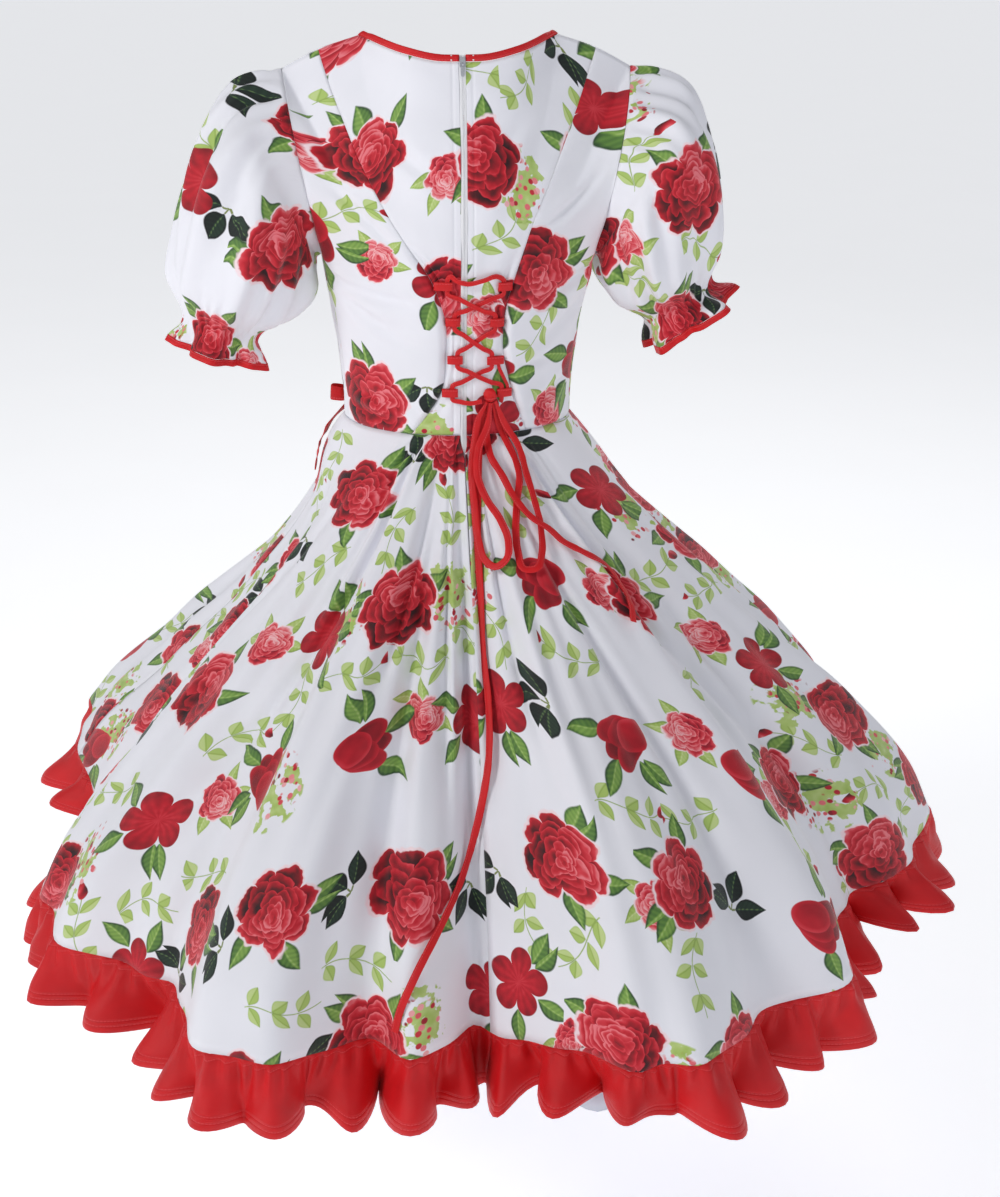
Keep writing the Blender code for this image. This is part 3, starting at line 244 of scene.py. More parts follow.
BOW_LOOP_RIGHT = table(
    "x height lift",
    (0.0345, -0.3800, 0.0080),
    (0.0430, -0.4030, 0.0066),
    (0.0560, -0.4275, 0.0062),
    (0.0625, -0.4542, 0.0062),
    (0.0690, -0.4785, 0.0062),
    (0.0750, -0.5020, 0.0062),
    (0.0740, -0.5208, 0.0062),
    (0.0660, -0.5320, 0.0060),
    (0.0570, -0.5320, 0.0056),
    (0.0515, -0.5180, 0.0048),
    (0.0505, -0.4998, 0.0038),
    (0.0535, -0.4766, 0.0028),
    (0.0560, -0.4567, 0.0028),
    (0.0510, -0.4340, 0.0028),
    (0.0410, -0.4110, 0.0030),
    (0.0345, -0.3920, 0.0052),
)

LONG_END = table(
    "x height lift",
    (0.0172, -0.3870, 0.0034),
    (0.0165, -0.4200, 0.0044),
    (0.0150, -0.4350, 0.0044),
    (0.0125, -0.4665, 0.0032),
    (0.0105, -0.5187, 0.0030),
    (0.0110, -0.5600, 0.0030),
    (0.0105, -0.6083, 0.0030),
    (0.0130, -0.6429, 0.0030),
    (0.0098, -0.6900, 0.0032),
    (-0.0010, -0.7345, 0.0034),
    (-0.0180, -0.7780, 0.0036),
    (-0.0485, -0.8130, 0.0036),
    (-0.0754, -0.8486, 0.0036),
    (-0.0900, -0.8830, 0.0036),
    (-0.0950, -0.9030, 0.0036),
)

SHORT_END = table(
    "x height lift",
    (0.0270, -0.3890, 0.0022),
    (0.0245, -0.4150, 0.0036),
    (0.0285, -0.4378, 0.0060),
    (0.0385, -0.4538, 0.0090),
    (0.0490, -0.4730, 0.0102),
    (0.0665, -0.4943, 0.0102),
    (0.0800, -0.5035, 0.0102),
    (0.0960, -0.5140, 0.0060),
    (0.1175, -0.5253, 0.0040),
    (0.1440, -0.5445, 0.0040),
    (0.1596, -0.5645, 0.0040),
    (0.1655, -0.5870, 0.0040),
)

# The front bow's loops, from its knot out to their tips and back, and its two ends
FRONT_BOW_TURN = -126.0

FRONT_LOOP = table(
    "aside out up",
    (0.0100, 0.0030, 0.0010),
    (0.0240, 0.0090, 0.0050),
    (0.0400, 0.0085, 0.0080),
    (0.0460, 0.0030, 0.0080),
    (0.0400, -0.0030, 0.0060),
    (0.0240, -0.0030, 0.0030),
    (0.0105, -0.0020, 0.0000),
)

FRONT_END_REAR = table(
    "turn along lift",
    (-134, 0.020, 0.0080),
    (-126, 0.050, 0.0065),
    (-118, 0.090, 0.0055),
    (-113, 0.150, 0.0050),
)

FRONT_END_FORE = table(
    "turn along lift",
    (-144, 0.020, 0.0080),
    (-149, 0.060, 0.0060),
    (-151, 0.120, 0.0050),
    (-152, 0.190, 0.0050),
)

SLEEVES = {
    "left": table(
        "along x z tilt half_height half_depth frill",
        (0.00, 0.166, -0.134, 4, 0.096, 0.056, 0.000),
        (0.10, 0.188, -0.140, 14, 0.098, 0.066, 0.000),
        (0.22, 0.200, -0.153, 24, 0.099, 0.078, 0.000),
        (0.45, 0.218, -0.192, 42, 0.091, 0.088, 0.000),
        (0.70, 0.236, -0.244, 58, 0.079, 0.084, 0.000),
        (0.88, 0.251, -0.282, 68, 0.065, 0.068, 0.000),
        (1.00, 0.260, -0.309, 74, 0.042, 0.042, 0.001),
        (1.16, 0.265, -0.336, 74, 0.049, 0.049, 0.008),
        (1.20, 0.266, -0.343, 74, 0.051, 0.051, 0.009),
    ),
    "right": table(
        "along x z tilt half_height half_depth frill",
        (0.00, 0.166, -0.134, 4, 0.096, 0.056, 0.000),
        (0.10, 0.188, -0.140, 14, 0.098, 0.066, 0.000),
        (0.22, 0.199, -0.149, 25, 0.099, 0.078, 0.000),
        (0.45, 0.214, -0.180, 40, 0.092, 0.086, 0.000),
        (0.70, 0.228, -0.226, 50, 0.080, 0.080, 0.000),
        (0.88, 0.238, -0.262, 56, 0.064, 0.066, 0.000),
        (1.00, 0.246, -0.288, 60, 0.042, 0.042, 0.001),
        (1.16, 0.262, -0.310, 56, 0.052, 0.050, 0.009),
        (1.20, 0.266, -0.316, 55, 0.054, 0.052, 0.010),
    ),
}

# The skirt's edge: how far each fold stands out from the axis, ridges and valleys in turn
HEM_FOLDS = table(
    "turn reach",
    (-180, 0.545),
    (-167, 0.482),
    (-153, 0.562),
    (-139, 0.488),
    (-125, 0.566),
    (-108, 0.512),
    (-92, 0.442),
    (-76, 0.498),
    (-58, 0.532),
    (-43, 0.488),
    (-26, 0.580),
    (-14, 0.488),
    (-8, 0.508),
    (-1, 0.446),
    (6, 0.498),
    (18, 0.592),
    (31, 0.546),
    (41, 0.570),
    (54, 0.494),
    (68, 0.545),
    (84, 0.578),
    (100, 0.500),
    (116, 0.576),
    (131, 0.490),
    (146, 0.562),
    (161, 0.482),
)

# Where a line of the skirt that ends at one turn angle on the hem starts at the waist
WAIST_TURN = table(
    "hem waist",
    (-180, -180),
    (-130, -112),
    (-93, -68),
    (-70, -45),
    (-46, -24),
    (-28, -15),
    (-10, -5),
    (0, 0),
    (10, 5),
    (28, 15),
    (46, 24),
    (70, 45),
    (93, 68),
    (130, 112),
    (180, 180),
)

# The skirt's fall over its petticoat: shares of its reach and of its drop along its length
FLARE = table(
    "along reach drop",
    (0.00, 0.000, 0.000),
    (0.15, 0.150, 0.150),
    (0.40, 0.425, 0.390),
    (0.70, 0.755, 0.675),
    (0.90, 0.945, 0.885),
    (1.00, 1.000, 1.000),
)

# How far the skirt falls in below the waist, round the body, before it stands out
SLACK = table(
    "turn slack",
    (-180, 0.06),
    (-150, 0.10),
    (-115, 0.15),
    (-80, 0.08),
    (-45, 0.02),
    (0, 0.0),
    (60, 0.0),
    (100, 0.02),
    (140, 0.05),
)

# Where the white underskirt shows below the ruffle: how far it drops and how wide it is
UNDERSKIRT_DIPS = table(
    "turn drop width",
    (-98, 0.036, 8),
    (11, 0.050, 7),
    (64, 0.040, 7),
)


def torso(turn, height):
    """A point on the bodice's general figure."""
    half_width = read(TORSO, "half_width", height)
    behind = np.cos(np.radians(turn)) > 0
    depth = np.where(behind, read(TORSO, "back_depth", height), read(TORSO, "front_depth", height))
    return half_width * np.sin(np.radians(turn)), -depth * np.cos(np.radians(turn))


def laced_seam_turn(side, height):
    """The turn angle of the laced seam at a height."""
    name = "left" if side < 0 else "right"
    across = read(LACED_SEAM, name, height) / read(TORSO, "half_width", height)
    return np.degrees(np.arcsin(np.clip(across, 0, 0.98)))


def back_turn(side, share, height):
    """The turn angle of a column of the back: it follows the laced seam."""
    seam = laced_seam_turn(side, height)
    inner = seam * share / PRINCESS_SHARE
    outer = seam + (SIDE_SEAM_ANGLE - seam) * (share - PRINCESS_SHARE) / (1 - PRINCESS_SHARE)
    return np.where(share < PRINCESS_SHARE, inner, outer)


def top_edge(face, share):
    """A point of the bodice's top edge, on the side of +X."""
    neckline, armhole_rows = (
        (BACK_NECKLINE, BACK_ARMHOLE) if face == "back" else (FRONT_NECKLINE, FRONT_ARMHOLE)
    )
    point = []
    for axis in "xyz":
        neck, shoulder = read(neckline, axis, share), read(SHOULDER_SEAM, axis, share)
        hole = read(armhole_rows, axis, share)
        point.append(np.where(share < NECK_SHARE, neck, np.where(share < TIP_SHARE, shoulder, hole)))
    return point


def bodice_face(face, side, share, rise):
    """A point of the back or the front, on the side of +X."""
    top = top_edge(face, share)
    height = WAIST_HEIGHT + rise * (top[2] - WAIST_HEIGHT)
    if face == "back":
        turn, top_turn = back_turn(side, share, height), back_turn(side, share, top[2])
    else:
        turn = top_turn = read(FRONT_TURN, "turn", share)
    x, y = torso(turn, height)
    top_x, top_y = torso(top_turn, top[2])
    pull = np.clip((rise - 0.30) / 0.70, 0, 1) ** (2.6 - ease(TIP_SHARE, 0.82, share))
    return x + pull * (top[0] - top_x), y + pull * (top[1] - top_y), height


def bodice(side, around, rise):
    """A point of the bodice. around is 0 at the centre back, 1 at the side and 2 at the front."""
    around, rise = np.broadcast_arrays(np.asarray(around, float), np.asarray(rise, float))
    back = bodice_face("back", side, np.clip(around, 0, 1), rise)
    front = bodice_face("front", side, np.clip(2 - around, 0, 1), rise)
    x, y, z = (np.where(around <= 1, b, f) for b, f in zip(back, front))
    laced = (1 - ease(-0.245, -0.19, z)) * ease(-0.425, -0.375, z)
    beside = around - PRINCESS_SHARE
    proud = 0.0050 * ease(-0.002, 0.020, beside) * (1 - ease(0.02, 0.18, beside))
    sunk = 0.0010 * ease(-0.30, 0, beside) * (1 - ease(0, 0.02, beside))
    push = 1 + laced * (proud - sunk) / np.hypot(x, y)
    x, y = x * push, y * push
    behind = 1 - ease(0, 0.5, around)
    return np.stack([side * (x + ZIP_HALF_WIDTH * behind), y, z], -1)


def bodice_normal(side, around, rise):
    """The bodice's outward direction. The panels of a shoulder seam share an upright one."""
    around, rise = np.broadcast_arrays(np.asarray(around, float), np.asarray(rise, float))
    across = bodice(side, around + 0.004, rise) - bodice(side, around - 0.004, rise)
    up = bodice(side, around, rise + 0.004) - bodice(side, around, rise - 0.004)
    normal = np.cross(across, up) * side
    normal /= np.linalg.norm(normal, axis=-1, keepdims=True)
    share = np.where(around <= 1, around, 2 - around)
    at_seam = ease(NECK_SHARE - 0.05, NECK_SHARE, share) * (1 - ease(TIP_SHARE, TIP_SHARE + 0.12, share))
    weight = (at_seam * ease(0.90, 1.0, rise))[..., None]
    normal = normal * (1 - weight) + np.array([0.0, 0.0, 1.0]) * weight
    return normal / np.linalg.norm(normal, axis=-1, keepdims=True)


def top_edge_away(side, around):
    """The direction in which the bodice would go on beyond its top edge."""
    ahead = bodice(side, around + 0.01, 1.0) - bodice(side, around - 0.01, 1.0)
    away = np.cross(bodice_normal(side, around, 1.0), ahead) * side
    return away / np.linalg.norm(away, axis=-1, keepdims=True)


def sleeve_ring(side, psi, along):
    """A point on the plain rings of a sleeve."""
    rows = SLEEVES["left" if side < 0 else "right"]
    tilt = np.radians(read(rows, "tilt", along))
    up = read(rows, "half_height", along) * np.cos(np.radians(psi))
    x = read(rows, "x", along) + up * np.sin(tilt)
    y = -read(rows, "half_depth", along) * np.sin(np.radians(psi))
    z = read(rows, "z", along) + up * np.cos(tilt)
    return np.stack([side * x, y, z], -1)


def hem_point(turn):
    """A point of the skirt's lower edge."""
    reach = read(HEM_FOLDS, "reach", turn, around=360)
    height = WAIST_HEIGHT - SKIRT_DROP + 0.22 * (reach - MEAN_REACH)
    angle = np.radians(turn)
    return np.stack([reach * np.sin(angle), -reach * np.cos(angle), height], -1)


def flare(turn, along):
    """The share of the hem's reach that the skirt has gained along its length."""
    slack = read(SLACK, "slack", turn, around=360) * 4 * along * (1 - along) * ease(0, 0.2, along)
    return read(FLARE, "reach", along) - slack


def skirt(turn, along):
    """A point of the skirt: turn on the hem, and along from 0 at the waist to 1 at the hem."""
    turn, along = np.broadcast_arrays(np.asarray(turn, float), np.asarray(along, float))
    turn = (turn + 180) % 360 - 180
    waist_turn = read(WAIST_TURN, "waist", turn)
    x, y = torso(waist_turn, WAIST_HEIGHT)
    beside_zip = np.sign(turn) * np.exp(-((turn / 12) ** 2))
    open_zip = 1 - ease(0.221, 0.259, along)
    beside_zip = beside_zip * (SEAM_GAP / 2 + (ZIP_HALF_WIDTH - SEAM_GAP / 2) * open_zip)
    hem = hem_point(turn)
    reach, drop = flare(turn, along), read(FLARE, "drop", along)
    out_x = x + reach * (hem[..., 0] - x) + beside_zip
    out_y = y + reach * (hem[..., 1] - y)
    z = WAIST_HEIGHT + drop * (hem[..., 2] - WAIST_HEIGHT)
    gathers = 0.0045 * np.cos(np.radians(waist_turn) * 22) * (1 - ease(14, 26, np.abs(waist_turn)))
    gathers = gathers * ease(0.0, 0.12, along) * (1 - ease(0.25, 0.6, along))
    push = 1 + gathers / np.hypot(out_x, out_y)
    return np.stack([out_x * push, out_y * push, z], -1)


def hem_lengths():
    """Turn angles round the hem, and the length of the hem up to each."""
    turns = np.linspace(-180, 180, 1441)
    edge = hem_point(turns)
    steps = np.linalg.norm(np.diff(edge, axis=0), axis=1)
    return turns, np.concatenate([[0], np.cumsum(steps)])


HEM_TURNS, HEM_LENGTHS = hem_lengths()


def ruffle(turn, down):
    """A point of the ruffle, down metres below the skirt's edge."""
    turn, down = np.broadcast_arrays(np.asarray(turn, float), np.asarray(down, float))
    turn = (turn + 180) % 360 - 180
    start = skirt(turn, 1.0)
    ahead = hem_point(turn + 3) - hem_point(turn - 3)
    ahead /= np.linalg.norm(ahead, axis=-1, keepdims=True)
    fall = start - skirt(turn, 0.96)
    fall /= np.linalg.norm(fall, axis=-1, keepdims=True)
    fall = fall + RUFFLE_HANG * (np.array([0.0, 0.0, -1.0]) - fall)
    fall /= np.linalg.norm(fall, axis=-1, keepdims=True)
    out = np.cross(fall, ahead)
    out /= np.linalg.norm(out, axis=-1, keepdims=True)
    phase = np.interp(turn, HEM_TURNS, HEM_LENGTHS) / HEM_LENGTHS[-1] * RUFFLE_WAVES * 2 * math.pi
    uneven = 0.9 * np.sin(np.radians(turn) * 5 + 0.7) + 0.7 * np.sin(np.radians(turn) * 11)
    phase = phase + uneven
    size = 1 + 0.35 * np.sin(np.radians(turn) * 7 + 1.1)
    share = down / RUFFLE_LENGTH
    swing = RUFFLE_SWING * size * ease(-0.35, 1.0, share) * ease(0, 0.12, share)
    lift = 0.008 * share * np.cos(phase) * size
    side_step = (swing * np.cos(phase) + 0.006 * share**2)[..., None] * out
    return start + fall * (down - lift)[..., None] + side_step


def underskirt(turn, along):
    """A point of the plain white underskirt, which hangs inside the skirt's folds."""
    turn, along = np.broadcast_arrays(np.asarray(turn, float), np.asarray(along, float))
    turn = (turn + 180) % 360 - 180
    waist_turn = read(WAIST_TURN, "waist", turn)
    waist = np.stack(torso(waist_turn, WAIST_HEIGHT), -1)
    waist *= 1 - UNDERSKIRT_INSET / np.linalg.norm(waist, axis=-1, keepdims=True)
    near = [read(HEM_FOLDS, "reach", turn + step, around=360) for step in (-9, 0, 0, 9)]
    reach = np.minimum(np.mean(near, axis=0), near[1]) - 0.036
    angle = np.radians(turn)
    edge = np.stack([np.sin(angle) * reach, -np.cos(angle) * reach], -1)
    plan = waist + flare(turn, along)[..., None] * (edge - waist)
    dips = zip(*(UNDERSKIRT_DIPS[name] for name in ("turn", "drop", "width")))
    dip = sum(drop * np.exp(-(((turn - at) / width) ** 2)) for at, drop, width in dips)
    drop = (SKIRT_DROP + 0.035 + dip * ease(0.6, 1, along)) * read(FLARE, "drop", along)
    return np.concatenate([plan, (WAIST_HEIGHT - 0.004 - drop)[..., None]], -1)


def normals_of(surface, u, v, step_u, step_v):
    """Unit normals of a surface function, from steps to each side of a point."""
    across = surface(u + step_u, v) - surface(u - step_u, v)
    down = surface(u, v + step_v) - surface(u, v - step_v)
    normal = np.cross(across, down)
    return normal / np.linalg.norm(normal, axis=-1, keepdims=True)


def on_back(x, height, lift):
    """A point on the back of the dress at x and a height, lifted off the cloth.

    The bodice is followed above the waist and the skirt below it.
    """
    side = -1 if x < 0 else 1
    if height > WAIST_HEIGHT:
        shares = np.linspace(0, 0.9, 181)
        rises = (height - WAIST_HEIGHT) / (top_edge("back", shares)[2] - WAIST_HEIGHT)
        share = np.interp(abs(x), np.abs(bodice(side, shares, rises)[:, 0]), shares)
        rise = np.interp(share, shares, rises)
        point, normal = bodice(side, share, rise), bodice_normal(side, min(share, 0.4), rise)
        point = point * [0, 1, 1] + [x, 0, 0]
    else:
        turns = np.linspace(-70, 70, 281)
        fall = (height - WAIST_HEIGHT) / (hem_point(turns)[:, 2] - WAIST_HEIGHT)
        lengths = np.linspace(0, 1, 101)
        along = np.interp(fall, read(FLARE, "drop", lengths), lengths)
        turn = np.interp(x, skirt(turns, along)[:, 0], turns)
        at = np.interp(turn, turns, along)
        point = skirt(turn, at)
        normal = -normals_of(skirt, turn, at, 4.0, 0.03)
    return point + normal * lift, normal


def through(points, count, facings):
    """A smooth curve of so many points through a few, and its facing at each point."""
    points = np.asarray(points, float)
    lengths = np.concatenate([[0], np.cumsum(np.linalg.norm(np.diff(points, axis=0), axis=1))])
    at = np.linspace(0, lengths[-1], count)
    curves = []
    for values in (points, np.asarray(facings, float)):
        rows = {"length": lengths, **{axis: values[:, i] for i, axis in enumerate("xyz")}}
        curves.append(np.stack([read(rows, axis, at) for axis in "xyz"], -1))
    return curves


def lace_route(stops, count, tied=None):
    """A lace's route and facing through stops on the back, each x, height and lift.

    tied names the ends that reach a knot, and gives the knot's centre, axes and sizes.
    """
    found = [on_back(*stop) for stop in stops]
    points = [point for point, _ in found]
    if tied:
        for end in tied[0]:
            points[end] = beside_knot(points[end], *tied[1:])
    return through(points, count, [normal for _, normal in found])


def loop_stops(row):
    """The lace's stops through one loop, from its top to its bottom."""
    side, height, across = (LOOPS[name][row] for name in ("side", "height", "lace"))
    lift = LOOP_LIFT + LOOP_DEPTH / 2
    return [(side * across, height + step, lift) for step in (0.0068, 0.0040, -0.0040, -0.0068)]


def beside_knot(point, centre, axes, sizes):
    """The place just outside a knot that lies towards a point."""
    spoke = (point - centre) @ np.array(axes).T / sizes
    surface = (spoke / np.linalg.norm(spoke) * sizes) @ np.array(axes)
    return centre + surface * (1 + KNOT_GAP / np.linalg.norm(surface))


def tapered(length, count, ends):
    """A bow ribbon's widths, gathered at the ends that go into the knot."""
    at = np.linspace(0, length, count)
    width = np.full(count, BOW_WIDTH)
    if 0 in ends:
        width = width * (0.45 + 0.55 * ease(0.0, 0.03, at))
    if -1 in ends:
        width = width * (0.45 + 0.55 * ease(0.0, 0.03, length - at))
    return width


def lace_tie():
    """The centre, axes and sizes of the lace's knot."""
    centre, out = on_back(0.0275, -0.3700, 0.0055)
    return centre, [(1, 0, 0), out, np.cross((1, 0, 0), out)], np.array([0.0072, 0.0048, 0.0082])

# Colours of the print, dark to pale, and of its leaves from their edge inwards
ROSE_TONES = ("#2a040b", "#620713", "#9c0a1d", "#c31528", "#d63643", "#ea7a82")
SMALL_ROSE_TONES = ("#7a0e20", "#b81c30", "#d5323f", "#e4606a", "#ee8d92", "#f5bcbf")
DARK_LEAF_TONES = ("#0c1112", "#141f1c", "#22382a", "#7fa05a")
GREEN_LEAF_TONES = ("#35532f", "#5c843c", "#86ab50", "#bcd08a")
LIME_LEAF_TONES = ("#8ba650", "#a9c464", "#bed285", "#dce6b4")
STEM_GREEN = "#7d8a4e"

# The rose's whorls, from the outer petals in: reach, petals, turn, shift across and up, paleness
ROSE_WHORLS = table(
    "reach petals turn across up pale",
    (1.00, 7, 0.3, 0.00, 0.00, 0.42),
    (0.84, 6, 1.5, 0.02, 0.03, 0.50),
    (0.69, 6, 0.7, 0.03, 0.06, 0.46),
    (0.54, 5, 2.1, 0.02, 0.10, 0.58),
    (0.40, 5, 0.2, 0.04, 0.12, 0.62),
    (0.27, 4, 1.1, 0.02, 0.14, 0.74),
    (0.15, 3, 2.6, 0.01, 0.15, 0.60),
)


# The petals of a closed rosebud: place, lean, half width, half height and paleness
CUP_PETALS = table(
    "across up lean wide tall pale",
    (0.000, 0.012, 0.0, 0.013, 0.022, 0.16),
    (-0.010, 0.004, 0.42, 0.015, 0.028, 0.24),
    (0.011, 0.003, -0.38, 0.014, 0.027, 0.34),
    (0.004, -0.004, -0.20, 0.015, 0.025, 0.28),
    (-0.003, -0.009, 0.16, 0.017, 0.021, 0.40),
)


def linear(colour):
    """A colour given as #rrggbb, as a shader takes it. Any other is left as it is."""
    if not isinstance(colour, str):
        return colour
    shares = [int(colour[i : i + 2], 16) / 255 for i in (1, 3, 5)]
    return [s / 12.92 if s <= 0.04045 else ((s + 0.055) / 1.055) ** 2.4 for s in shares] + [1.0]


def shades(colour, *shares):
    """Darker and paler shades of a colour that the user has set."""
    return [[min(1.0, part * share) for part in colour] + [1.0] for share in shares]


class Term:
    """A number in a shader, joined to others by ordinary arithmetic."""

    def __init__(self, tree, socket):
        self.tree, self.socket = tree, socket

    def __add__(self, other):
        return maths(self.tree, "ADD", self, other)

    def __radd__(self, other):
        return maths(self.tree, "ADD", self, other)

    def __sub__(self, other):
        return maths(self.tree, "SUBTRACT", self, other)

    def __rsub__(self, other):
        return maths(self.tree, "SUBTRACT", other, self)

    def __mul__(self, other):
        return maths(self.tree, "MULTIPLY", self, other)

    def __rmul__(self, other):
        return maths(self.tree, "MULTIPLY", self, other)

    def __truediv__(self, other):
        return maths(self.tree, "DIVIDE", self, other)

    def __abs__(self):
        return maths(self.tree, "ABSOLUTE", self)

    def __gt__(self, other):
        return maths(self.tree, "GREATER_THAN", self, other)

    def __lt__(self, other):
        return maths(self.tree, "LESS_THAN", self, other)


def put(tree, socket, value):
    """Sets a socket to a number, or joins another node's output to it."""
    if isinstance(value, Term):
        tree.links.new(value.socket, socket)
    elif isinstance(value, bpy.types.NodeSocket):
        tree.links.new(value, socket)
    else:
        socket.default_value = value


def maths(tree, operation, *values, clamp=False):
    """A Math node on numbers or terms."""
    node = tree.nodes.new("ShaderNodeMath")
    node.operation, node.use_clamp = operation, clamp
    for socket, value in zip(node.inputs, values):
        put(tree, socket, value)
    return Term(tree, node.outputs[0])


def sine(term):
    return maths(term.tree, "SINE", term)


def cosine(term):
    return maths(term.tree, "COSINE", term)


def floor(term):
    return maths(term.tree, "FLOOR", term)


def share_of(term):
    """What is left of a number above its floor."""
    return maths(term.tree, "FRACT", term)


def length(x, y):
    return maths(x.tree, "SQRT", x * x + y * y)


def cover_of(depth, soft=0.02):
    """1 inside a shape and 0 outside, from the depth inside its edge."""
    return maths(depth.tree, "MULTIPLY_ADD", depth, 1 / soft, 0.5, clamp=True)


def clamped(term):
    return maths(term.tree, "ADD", term, 0.0, clamp=True)


def blended(a, b, share):
    """A number that goes from a to b with a share from 0 to 1."""
    return a + (b - a) * share


def turned(x, y, angle):
    """x and y in axes turned by an angle in radians, which may be a term."""
    if isinstance(angle, Term):
        c, s = cosine(angle), sine(angle)
    else:
        c, s = math.cos(angle), math.sin(angle)
    return x * c + y * s, y * c - x * s


def vector(tree, *values):
    """A vector of up to three numbers or terms."""
    node = tree.nodes.new("ShaderNodeCombineXYZ")
    for socket, value in zip(node.inputs, values):
        put(tree, socket, value)
    return node.outputs[0]


def split(tree, socket):
    """A vector's three numbers."""
    node = tree.nodes.new("ShaderNodeSeparateXYZ")
    tree.links.new(socket, node.inputs[0])
    return [Term(tree, output) for output in node.outputs]


def noise(tree, place, scale, detail=1.0, colour=False):
    """Smooth noise about 0.5 at a place, as one number, or as three."""
    node = tree.nodes.new("ShaderNodeTexNoise")
    put(tree, node.inputs["Vector"], place)
    node.inputs["Scale"].default_value = scale
    node.inputs["Detail"].default_value = detail
    return split(tree, node.outputs["Color"]) if colour else Term(tree, node.outputs["Fac"])


def chances(tree, *place):
    """Three numbers from 0 to 1 that depend only on a place."""
    node = tree.nodes.new("ShaderNodeTexWhiteNoise")
    node.noise_dimensions = "3D"
    tree.links.new(vector(tree, *place), node.inputs["Vector"])
    return split(tree, node.outputs["Color"])


def ramp(tree, tone, colours):
    """A colour for a tone from 0 to 1."""
    node = tree.nodes.new("ShaderNodeValToRGB")
    put(tree, node.inputs[0], tone)
    steps = node.color_ramp.elements
    while len(steps) < len(colours):
        steps.new(0.5)
    for i, colour in enumerate(colours):
        steps[i].position = i / (len(colours) - 1)
        steps[i].color = linear(colour)
    return node.outputs[0]


def painted(tree, under, over, cover):
    """One colour over another where cover is 1."""
    node = tree.nodes.new("ShaderNodeMix")
    node.data_type = "RGBA"
    put(tree, node.inputs[0], cover)
    put(tree, node.inputs[6], under)
    put(tree, node.inputs[7], over)
    return node.outputs[2]


def motif(name, inputs, outputs, draw):
    """A node group with named numbers in and out, drawn once by a function."""
    tree = bpy.data.node_groups.get(name)
    if tree:
        return tree
    tree = bpy.data.node_groups.new(name, "ShaderNodeTree")
    for way, names in (("INPUT", inputs), ("OUTPUT", outputs)):
        for socket in names:
            tree.interface.new_socket(socket, in_out=way, socket_type="NodeSocketFloat")
    start, end = tree.nodes.new("NodeGroupInput"), tree.nodes.new("NodeGroupOutput")
    found = draw(tree, *(Term(tree, start.outputs[i]) for i in range(len(inputs))))
    for socket, value in zip(end.inputs, found):
        put(tree, socket, value)
    return tree


def drawn(tree, group, *values):
    """One use of a motif: its outputs at some values."""
    node = tree.nodes.new("ShaderNodeGroup")
    node.node_tree = group
    for socket, value in zip(node.inputs, values):
        put(tree, socket, value)
    return [Term(tree, output) for output in node.outputs]


def draw_rose(tree, x, y, seed):
    """An open rose of radius 1: its tone, from 0 dark to 1 pale, its cover and its pale rim."""
    place = vector(tree, x + seed * 17, y, seed * 5)
    sway = noise(tree, place, 1.5, colour=True)
    fine = noise(tree, place, 5.0, colour=True)
    x = x + (sway[0] - 0.5) * 0.42 + (fine[0] - 0.5) * 0.14
    y = y + (sway[1] - 0.5) * 0.42 + (fine[1] - 0.5) * 0.14
    tone = cover = None
    for reach, petals, turn, across, up, pale in zip(*ROSE_WHORLS.values()):
        px, py = x - across, y - up
        angle = maths(tree, "ARCTAN2", py, px) * (petals / 2) + seed * 4 + turn
        lobe = maths(tree, "POWER", abs(cosine(angle)), 0.42)
        edge = (lobe * 0.24 + 0.76) * reach
        depth = edge - length(px, py)
        petal = sine(floor(angle / math.pi + 0.5) * 2.4 + seed * 30 + turn)
        rim = 1 - clamped(depth * (5.0 / (0.3 + reach)))
        light = (py - px * 0.6) / reach
        shade = pale + rim * rim * 0.34 - clamped(depth * 2.6) * 0.42 + petal * 0.10 + light * 0.16
        shade = shade + (fine[2] - 0.5) * 0.5
        inside = cover_of(depth, 0.022)
        if cover is None:
            tone, cover, halo = shade, inside, cover_of(depth + 0.055, 0.04)
        tone = blended(tone, shade, inside)
    return clamped(tone), cover, halo


def draw_leaves(tree, x, y, count, present, start, tip, width):
    """Leaves round a stem: how pale they are from the edge in, their cover and their stems' cover."""
    turn = maths(tree, "ARCTAN2", y, x) * (count / (2 * math.pi)) + count
    leaf = floor(turn)
    fold = (turn - leaf - 0.5) / count * (2 * math.pi)
    radius = length(x, y)
    lean = sine(leaf * 2.1) * 0.12
    along, aside = radius * cosine(fold + lean), radius * sine(fold + lean)
    aside = aside - (along - start) * (along - start) * 0.22
    share = clamped((along - start) / (tip - start))
    half = width * sine(share * math.pi) * (1.35 - share * 0.6)
    there = (leaf - floor(leaf / count) * count) < present
    cover = cover_of(half - abs(aside), 0.03) * there * (share > 0.005) * (share < 0.995)
    veins = sine((share * 7 - abs(aside) / width * 1.1) * (2 * math.pi))
    side = cover_of(aside, 0.05)
    tone = 0.30 + side * 0.28 + veins * 0.07 + cover_of(0.02 - abs(aside), 0.03) * 0.3
    tone = tone - cover_of(0.05 - (half - abs(aside)), 0.05) * 0.35
    stem = cover_of(0.024 - abs(aside), 0.02) * cover_of(start - along, 0.03) * cover_of(along, 0.03) * there
    return clamped(tone), cover, stem


